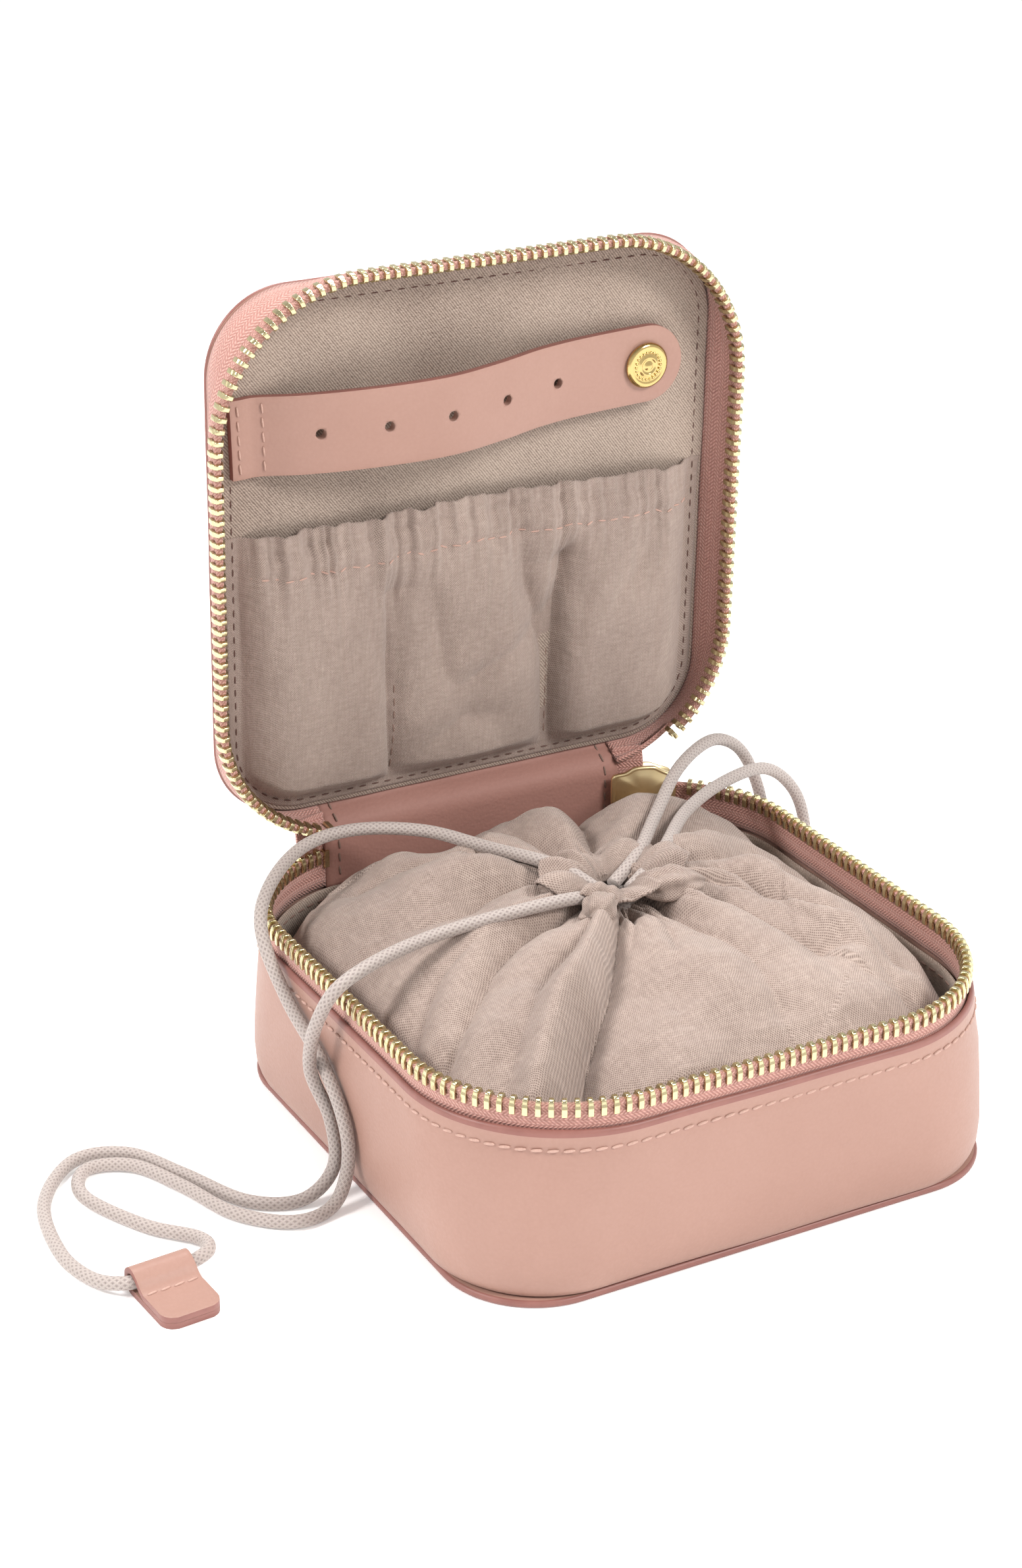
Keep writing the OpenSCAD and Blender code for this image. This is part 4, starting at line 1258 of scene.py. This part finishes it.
def sew_divider(x, mats):
    """Stitches that part two compartments, from the seam up into the fold."""
    run = []
    for t in np.linspace(0.6, 0.93, 60):
        top, far = pocket_edges(x)
        run.append(((x, top + (far - top) * t, LINING_Z - pocket_puff(x, t)), (0, 0, -1)))
    name = "divider_stitches_" + ("left" if x < 0 else "right")
    stitches = stitch_line(name, run, 3.0, 2.0, mats["thread_taupe"], 0.4, 0, 0.3)
    finish_piece(open_lid(stitches), "lid", "pouch_cloth")


# ---------- strap and snap ----------

STRAP_TILT = math.radians(-2)
STRAP_ROOT = np.array([-56.5, -29.0])
STRAP_Z = 51.0
STRAP_W, STRAP_T, STRAP_CUP = 17.0, 1.8, 0.25
SNAP_X, ROUND_X = 90.5, 91
HOLE_COUNT, FIRST_HOLE_X, HOLE_PITCH, HOLE_RADIUS = 5, 12.5, 14, 1.1
SNAP_BEADS = 22


def strap_to_lid(points):
    """From the strap's frame, x along it from its pivot, to the shut lid's frame."""
    p = np.asarray(points, float)
    c, s = math.cos(STRAP_TILT), math.sin(STRAP_TILT)
    x, y = p[..., 0] + 6.0, p[..., 1]
    return np.stack([STRAP_ROOT[0] + x * c - y * s, STRAP_ROOT[1] + x * s + y * c, p[..., 2] + STRAP_Z], -1)


STRAP_BACK = smooth_line(
    [(-5.5, 0.9, 0), (-2.5, 0.9, 0), (1, 0.7, 0), (10, -3.2, 0), (25, -6.9, 0), (40, -8.3, 0),
     (53, -6, 0), (65, -2.7, 0), (78, -1.3, 0), (99.5, -1.1, 0)], 8)


def strap_back(x):
    return float(np.interp(x, STRAP_BACK[:, 0], STRAP_BACK[:, 1]))


def add_strap(mats):
    """Bent leather strap with a round end, painted edges and a row of holes."""
    cols = 13
    round_end = [ROUND_X + 8.45 * math.sin(a) for a in np.linspace(0, math.pi / 2 * 0.985, 14)]
    xs = list(np.linspace(-5.2, 89, 96)) + round_end
    front, back = [], []
    for x in xs:
        half = math.sqrt(max(0.02, (STRAP_W / 2) ** 2 - max(0.0, x - ROUND_X) ** 2))
        line = [-half + 2 * half * c / (cols - 1) for c in range(cols)]
        z = strap_back(x)
        back.append([(x, y, z - STRAP_CUP * (y / half) ** 2 * 0.3) for y in line])
        front.append([(x, y, z - STRAP_T * 0.95 - STRAP_CUP * (1 - (y / half) ** 2) * 0.5) for y in line])
    skins = [mats["leather"], mats["edge"]]
    piece = ribbon("strap_leather", strap_to_lid(front), strap_to_lid(back), skins)
    rounded(piece, 0.22, 2, 50)
    for k in range(HOLE_COUNT):
        x = FIRST_HOLE_X + HOLE_PITCH * k
        cut_hole(piece, strap_to_lid([(x, 0, strap_back(x))])[0], HOLE_RADIUS)
    open_lid(piece)
    turn = [LID_TURN @ Vector(strap_to_lid((x, 0.0, 0.0)) * MM) for x in (-1.2, 1.2)]
    tuple(turn[0])
    tuple(turn[1])
    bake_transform(piece)
    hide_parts("strap", "strap_anchor")
    for name, x, body in (("strap_stitches_a", -3.6, "lid"), ("strap_stitches_b", 1.6, "strap")):
        z = strap_back(x) - STRAP_T * 0.95 - 0.22
        across = np.linspace(-STRAP_W / 2 + 0.8, STRAP_W / 2 - 0.8, 20)
        run = [(strap_to_lid((x, y, z)), (0, 0, -1)) for y in across]
        stitches = stitch_line(name, run, 2.9, 2.2, mats["thread"], 0.5, 5)
        finish_piece(open_lid(stitches), body, "leather")


def cut_hole(piece, at, radius):
    """Cuts a round hole of the radius in mm along z."""
    bpy.ops.mesh.primitive_cylinder_add(
        radius=radius * MM, depth=0.02, location=Vector(at) * MM, vertices=24
    )
    tool = bpy.context.object
    m = piece.modifiers.new("hole", "BOOLEAN")
    m.operation, m.object, m.solver = "DIFFERENCE", tool, "EXACT"
    apply_modifiers(piece)
    bpy.data.objects.remove(tool)


def turned(name, profile, material, steps=48):
    """A piece turned about its own z axis, from (radius, z) points, closed at the axis."""
    angles = 2 * np.pi * np.arange(steps) / steps
    rows = [[(r * math.cos(a), r * math.sin(a), z) for a in angles] for r, z in profile]
    return close_ends(grid_mesh(name, rows, [material], wrap=True))


def add_snap(mats):
    """Domed snap cap with a beaded ring."""
    r = (node_box("snap_cap")[1][0] - node_box("snap_cap")[0][0]) / 2
    profile = [(0.02, 0), (r - 0.3, 0), (r, -0.35), (r, -0.75), (r - 0.4, -1.15), (r - 1.0, -1.35),
               (r - 1.25, -1.2), (r - 2.7, -1.25), (r - 2.95, -1.5), (r - 3.3, -1.45), (r - 3.5, -1.2),
               (1.0, -1.3), (0.6, -1.6), (0.02, -1.65)]
    cap = turned("snap_cap_gold", profile, mats["gold_deep"])
    at = Vector(strap_to_lid([(SNAP_X, 0, -3.02)])[0])
    cap.data.transform(Matrix.Translation(at * MM))
    finish_piece(open_lid(cap), "strap", "brass_trim", "snap_cap")
    beads = []
    for k in range(SNAP_BEADS):
        a = 2 * math.pi * k / SNAP_BEADS
        spot = Vector(((r - 2.0) * math.cos(a), (r - 2.0) * math.sin(a), -1.22))
        beads.append(Matrix.Translation(at + spot))
    verts, faces = bead(0.62, 0.62, 0.5, 6, 10)
    ring = copies_mesh("snap_cap_beads", verts, faces, beads, mats["gold_deep"])
    finish_piece(open_lid(ring), "strap", "brass_trim")


# ---------- slider and pull ----------

SLIDER_AT = np.array([41.8, 58.3, 42.9])
SLIDER_YAW = math.radians(-18)


def slider_frame(piece):
    """Puts a piece made at the origin where the slider stands."""
    spin = Matrix.Rotation(SLIDER_YAW, 4, "Z")
    piece.data.transform(Matrix.Translation(Vector(SLIDER_AT) * MM) @ spin)
    return piece


def soft_loop(corners, steps, passes):
    """Closed outline through corners, with each one rounded off a little."""
    p = np.array(corners + corners[:1], float)
    line = np.concatenate([np.linspace(a, b, steps, endpoint=False) for a, b in zip(p[:-1], p[1:])])
    for _ in range(passes):
        line = (np.roll(line, 1, axis=0) + 2 * line + np.roll(line, -1, axis=0)) / 4
    return line


def add_slider(mats):
    """Polished slider: two crowned plates with waisted ends, a wedge and a bridge."""
    corners = [(-7.6, -3.4), (-7.6, 1.9), (-6.9, 2.5), (-4.3, 2.7), (-2.2, 3.7), (2.4, 3.7), (4.6, 2.7),
               (7.0, 1.9), (7.6, 1.2), (7.5, -3.2), (5.6, -4.1), (2.6, -4.8), (0, -4.3), (-2.6, -4.8),
               (-6.2, -4.3)]
    crown = [(1.0, 0.0), (1.0, 0.6), (0.975, 0.82), (0.93, 0.92), (0.9, 0.88), (0.86, 0.92), (0.7, 1.32),
             (0.45, 1.66), (0.2, 1.82), (0.02, 1.85)]
    # Plates and posts take the paler gold copy, whose brighter tint is a painted highlight.
    loop = soft_loop(corners, 5, 2)
    for name, y, sign, tall in (
        ("slider_inner_plate", -2.4, -1, 1.36), ("slider_outer_plate", 2.4, 1, 1.0)
    ):
        rows = [[(x * f, y + sign * off, (z + 0.4) * f * tall - 0.4) for x, z in loop] for f, off in crown]
        plate = close_ends(grid_mesh(name, rows, [mats["gold_lit"]], wrap=True))
        finish_piece(slider_frame(plate), "base", "brass_trim")
        if sign < 0:
            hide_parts("zip_slider")
    posts = [([4.6, 0, 0.0], [2.6, 4.9, 2.8]), ([-3.4, 5.15, -3], [1.4, 3.5, 2.4]),
             ([3.4, 5.15, -3], [1.4, 3.5, 2.4]), ([0, 5.8, -3], [7.6, 1.5, 1.5])]
    for k, (centre, size) in enumerate(posts):
        bm = bmesh.new()
        bmesh.ops.create_cube(bm, size=1.0)
        bmesh.ops.scale(bm, vec=size, verts=bm.verts)
        bmesh.ops.translate(bm, vec=centre, verts=bm.verts)
        bmesh.ops.bevel(bm, geom=bm.edges[:], offset=0.4, segments=3, affect="EDGES")
        verts, faces = [tuple(v.co) for v in bm.verts], [[v.index for v in f.verts] for f in bm.faces]
        bm.free()
        post = make_mesh(f"slider_post_{k}", verts, faces, [mats["gold_lit"]])
        finish_piece(slider_frame(post), "base", "brass_trim")


# ---------- pouch ----------

MOUTH = np.array([2.5, 5.0])
NECK_SHARE, POUCH_FOOT_Z = 0.075, 6.5
POUCH_RIM = outline(56.4, 27, 27, 40, 40)
_angles = np.arctan2(POUCH_RIM[:, 1] - MOUTH[1], POUCH_RIM[:, 0] - MOUTH[0]) % (2 * math.pi)
_order = np.argsort(_angles)
POUCH_EDGE_ANGLES, POUCH_EDGE_POINTS = _angles[_order], POUCH_RIM[_order]


def pouch_edge(angle):
    """Point of the pouch's side seen from the mouth at this angle."""
    i = int(np.searchsorted(POUCH_EDGE_ANGLES, angle % (2 * math.pi))) % len(POUCH_EDGE_ANGLES)
    a0, a1 = POUCH_EDGE_ANGLES[i - 1], POUCH_EDGE_ANGLES[i]
    f = ((angle - a0) % (2 * math.pi)) / max(1e-9, (a1 - a0) % (2 * math.pi))
    return POUCH_EDGE_POINTS[i - 1] * (1 - f) + POUCH_EDGE_POINTS[i] * f


def fold_edges(count, jitter, seed):
    """Angles of the valleys between folds, uneven, over one turn."""
    rng = random.Random(seed)
    gaps = [1 + jitter * rng.uniform(-1, 1) for _ in range(count)]
    return np.concatenate([[0], np.cumsum(gaps)[:-1]]) / sum(gaps) * 2 * math.pi


FINE_FOLDS = fold_edges(31, 0.45, 11)


def fold_wave(angle, edges, sharp):
    """0 in the valleys and 1 on the crowns, with round crowns and sharp valleys."""
    a = angle % (2 * math.pi)
    i = int(np.searchsorted(edges, a, side="right")) - 1
    lo = edges[i]
    hi = edges[(i + 1) % len(edges)] + (2 * math.pi if i + 1 >= len(edges) else 0)
    return math.sin(math.pi * (a - lo) / (hi - lo)) ** sharp


# Valleys of the gathered cloth as seen, in mm: the line it follows from the mouth outwards, its depth
# near the mouth and at its end, and its width to its left and to its right looking outwards
VALLEYS = [
    ([(2, 0), (-8, -15), (-17, -27), (-27, -37), (-34, -46), (-42, -57)], 4.5, 9.6, 5.0, 1.7),
    ([(3, -1), (0, -9), (-6, -18)], 3.0, 0.6, 1.5, 2.0),
    ([(5, -1), (4, -13), (0, -25), (-6, -35), (-10, -44)], 2.6, 1.4, 3.5, 3.0),
    ([(8, 1), (9.5, -14), (12, -26), (13.5, -34), (12, -45)], 4.0, 1.2, 2.2, 3.5),
    ([(11, 2), (19, -6), (24, -18), (31, -31)], 2.6, 2.6, 1.8, 3.4),
    ([(31, -31), (37, -33), (41, -41), (42, -52)], 1.0, 1.8, 4.0, 3.4),
    ([(12, 3), (23, -3), (29, -11), (33, -24)], 3.4, 1.0, 2.0, 2.0),
    ([(13, 5), (28, 0), (33, -10), (39, -20), (45, -26), (47, -36)], 2.4, 2.4, 2.4, 1.4),
    ([(13, 8), (30, 7), (39, 9), (47, 6), (52, -3)], 3.0, 3.2, 2.4, 3.4),
    ([(11, 14), (24, 20), (38, 22), (49, 19)], 3.2, 2.0, 3.0, 4.0),
    ([(6, 18), (12, 32), (17, 46)], 3.0, 3.6, 2.6, 3.6),
    ([(-1, 17), (-3, 30), (-5, 40), (-16, 44)], 2.8, 3.4, 2.4, 3.2),
    ([(-6, 15), (-13, 27), (-25, 35), (-38, 40)], 3.0, 3.0, 3.2, 4.2),
    ([(-7, 10), (-14, 15), (-22, 14), (-30, 11), (-40, 14)], 3.4, 1.4, 2.2, 3.0),
    ([(-5, 2), (-14, -2), (-22, -4), (-32, -9), (-42, -18), (-52, -26)], 3.4, 3.0, 3.4, 1.8),
    ([(-30, -2), (-42, -5), (-52, -14), (-58, -22)], 0.8, 2.4, 2.6, 2.0),
    ([(-3, -2), (-14, -12), (-26, -20), (-40, -34), (-50, -44)], 3.0, 1.6, 3.2, 3.4),
]


def valley_map(points):
    """Depth of all valleys below the mound at an array of points."""
    total = np.zeros(len(points))
    for line, near, far, left, right in VALLEYS:
        line = smooth_line([(x, y, 0) for x, y in line], 4)[:, :2]
        run = distances(line)
        best = np.full(len(points), 1e9)
        signed = np.zeros(len(points))
        share = np.zeros(len(points))
        for k in range(len(line) - 1):
            a, d = line[k], line[k + 1] - line[k]
            span = np.linalg.norm(d)
            f = np.clip(((points - a) @ d) / span**2, 0, 1)
            off = points - (a + f[:, None] * d)
            dist = np.linalg.norm(off, axis=1)
            side = np.sign(d[0] * off[:, 1] - d[1] * off[:, 0])
            closer = dist < best
            best = np.where(closer, dist, best)
            signed = np.where(closer, side, signed)
            share = np.where(closer, (run[k] + f * span) / run[-1], share)
        grow = 0.5 + 0.8 * share
        width = np.where(signed > 0, left, right) * grow
        depth = 1.5 * (near + (far - near) * share) * np.minimum(1.0, 0.35 + 3.5 * share)
        cut = 0.62 * depth * np.exp(-best / (0.75 * width))
        cut += 0.5 * depth * np.exp(-((best / (2.4 * width)) ** 2))
        swell = 0.34 * depth * np.exp(-(((best - 3.6 * width) / (2.2 * width)) ** 2))
        total += cut - swell
    return total


def pouch_height(s, angle):
    """The mound's height at share s of the way from the mouth to the side."""
    back = max(0.0, math.sin(angle))
    front = max(0.0, -math.sin(angle))
    dome = np.interp(s, [0, 0.1, 0.25, 0.42, 0.6, 0.76, 0.88, 0.95, 1.0],
                     [45.5, 48.6, 50.4, 50.2, 48.4, 45.0, 40.6, 36.8, 31.0])
    return float(dome) + 3.0 * back * bell(s, 0.62, 0.28) - 1.2 * front * bell(s, 0.7, 0.35)


def add_pouch(mats):
    """Cloth mound gathered to its mouth, with folds that widen and fade towards the side."""
    cols, in_rows, wall_rows = 540, 128, 12
    angles = 2 * np.pi * np.arange(cols) / cols
    shares = NECK_SHARE + (1 - NECK_SHARE) * np.linspace(0, 1, in_rows) ** 1.1
    edges = np.array([pouch_edge(a) for a in angles])
    ways = (edges - MOUTH) / np.linalg.norm(edges - MOUTH, axis=1)[:, None]
    plan = MOUTH + shares[:, None, None] * (edges - MOUTH)
    valleys = valley_map(plan.reshape(-1, 2)).reshape(in_rows, cols)
    points = np.zeros((in_rows + wall_rows, cols, 3))
    for r, s in enumerate(shares):
        near = 1.6 * math.exp(-((s / 0.24) ** 2))
        hold = min(1.0, (1 - s) / 0.1 + 0.55)
        for c, angle in enumerate(angles):
            x, y = plan[r, c]
            twist = 0.3 * noise.noise(Vector((x * 0.06, y * 0.06, 1.0)))
            fine = fold_wave(angle + twist, FINE_FOLDS, 0.8)
            crumple = 2.2 * noise.noise(Vector((x * 0.055, y * 0.055, 2.0)))
            crumple += 0.7 * noise.noise(Vector((x * 0.13, y * 0.13, 6.0)))
            crumple += 0.25 * noise.noise(Vector((x * 0.3, y * 0.3, 9.0)))
            z = pouch_height(s, angle) - valleys[r, c] * hold
            z += near * (fine - 0.55) + crumple * min(1, s * 3)
            push = -0.35 * valleys[r, c] * bell(s, 1.0, 0.12)
            points[r, c] = (x + ways[c, 0] * push, y + ways[c, 1] * push, z)
    last = points[in_rows - 1]
    for k in range(wall_rows):
        f = (k + 1) / wall_rows
        lift = last[:, 2] * (1 - f) + POUCH_FOOT_Z * f
        bulge = 0.5 * math.sin(math.pi * f) - 0.6 * f
        points[in_rows + k, :, :2] = last[:, :2] + ways * bulge
        points[in_rows + k, :, 2] = lift
    unrolled = points.copy()
    unrolled[in_rows:, :, :2] += ways * (last[:, 2] - points[in_rows:, :, 2])[..., None]
    piece = grid_mesh("pouch_cloth", points, [mats["linen"]], wrap=True, uv=flat_uv(unrolled))
    thicken(piece, 0.6, -1.0 if piece.data.polygons[0].normal.z > 0 else 1.0)
    finish_piece(piece, "pouch", "pouch_cloth", "pouch_top", "pouch_wall")
    return piece


# Where the heading stands out further or less far: angle, width and gain
EARS = [(0.1, 0.42, 1.1), (2.9, 0.6, 0.45), (4.6, 0.5, -0.05)]


def turn_between(a, b):
    """Angle from b to a, from -pi to pi."""
    return (a - b + math.pi) % (2 * math.pi) - math.pi


def add_ruffle(mats):
    """The heading of the pouch: loose cloth above the drawstring that flops outwards."""
    cols, rows = 460, 34
    points = []
    for r in range(rows):
        t = r / (rows - 1)
        row = []
        for c in range(cols):
            a = 2 * math.pi * c / cols
            ear = 1 + sum(gain * bell(turn_between(a, at), 0.0, width) for at, width, gain in EARS)
            folds = math.sin(8 * a + 1.6 * math.sin(2 * a + 1) + 1.1 * t)
            small = math.sin(15 * a + 2.2 * math.sin(3 * a) - 1.5 * t)
            loose = noise.noise(Vector((math.cos(a) * 1.7, math.sin(a) * 1.7, 1.3 * t)))
            length = 8.4 * ear * (1 + 0.25 * loose)
            radius = 3.6 + length * t**1.1 + 0.25 * small * t + 0.7 * folds * t
            rise = 5.4 * math.sin(math.pi * (0.06 + 0.64 * t))
            z = 47.4 + rise + (1.3 * folds + 0.5 * small) * t**0.7 + 1.8 * loose * t
            z += 1.6 * (ear - 1) * math.sin(math.pi * t)
            if t > 0.3:
                z = max(z, 50.0 + 0.9 * t)
            twist = 0.14 * t * math.sin(4 * a + 1)
            x = MOUTH[0] + radius * math.cos(a + twist)
            row.append((x, MOUTH[1] + radius * math.sin(a + twist), z))
        points.append(row)
    piece = grid_mesh("pouch_ruffle", points, [mats["linen"]], wrap=True)
    thicken(piece, 0.6, 0.0)
    finish_piece(piece, "pouch", "pouch_cloth", "pouch_collar")
    return piece


# Rolled lobes of the heading beside the cords: centre, half sizes and heading about z
LOBES = {
    "right": ((12.0, -4.0, 51.6), (6.8, 4.2, 3.5), -20),
    "left_front": ((-6.5, -5.6, 50.9), (4.8, 3.3, 3.0), 30),
    "left_back": ((-9.0, 6.2, 51.2), (4.6, 2.8, 2.7), -8),
}


def add_lobes(mats):
    """Tufts of gathered cloth that bulge out between the cords at the mouth."""
    pieces = []
    for name, (centre, half, turn) in LOBES.items():
        rows = []
        for i in range(1, 40):
            a = math.pi * i / 40
            row = []
            for k in range(64):
                b = 2 * math.pi * k / 64
                way = Vector((math.cos(a), math.sin(a) * math.cos(b), math.sin(a) * math.sin(b)))
                pleat = 0.09 * math.sin(6 * b + 2.5 * math.cos(a) + centre[0]) * math.sin(a)
                lump = 0.22 * noise.noise(way * 1.5 + Vector(centre))
                row.append([h * w * (1 + pleat + lump) for h, w in zip(half, way)])
            rows.append(row)
        piece = close_ends(grid_mesh("pouch_tuft_" + name, rows, [mats["linen"]], wrap=True))
        spin = Matrix.Rotation(math.radians(turn), 4, "Z")
        piece.data.transform(Matrix.Translation(Vector(centre) * MM) @ spin)
        pieces.append(finish_piece(piece, "pouch", "pouch_cloth"))
    return pieces


NECK_R, NECK_Z = 5.2, 46.9


def add_neck_cord(mats):
    """The drawstring's run inside the casing round the mouth."""
    a = np.linspace(0, 2 * math.pi, 61)
    ring = np.c_[MOUTH[0] + NECK_R * np.cos(a), MOUTH[1] + NECK_R * np.sin(a), np.full(len(a), NECK_Z)]
    return finish_piece(tube("neck_drawstring", ring, 2.2, mats["cord"]), "pouch", "cord", "neck_cord")


def flatten_with_lid(piece):
    """Gives the piece its own copy of its mesh."""
    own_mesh(piece)


# ---------- all of it ----------

mats = make_materials()
add_camera()
add_stage()
dress_cad_nodes(mats)
add_drawstring("left", LEFT_ROUTE, mats)
add_drawstring("right", RIGHT_ROUTE, mats)
add_wall(mats)
add_sole(mats)
add_tapes(mats)
add_teeth(mats)
add_base_lining(mats)
add_spine(mats)
add_lid_shell(mats)
add_lid_lining(mats)
add_pocket(mats)
add_strap(mats)
add_snap(mats)
add_slider(mats)
pouch = add_pouch(mats)
ruffle = add_ruffle(mats)
neck = add_neck_cord(mats)
tufts = add_lobes(mats)
for soft in (pouch, ruffle, neck, *tufts):
    flatten_with_lid(soft)
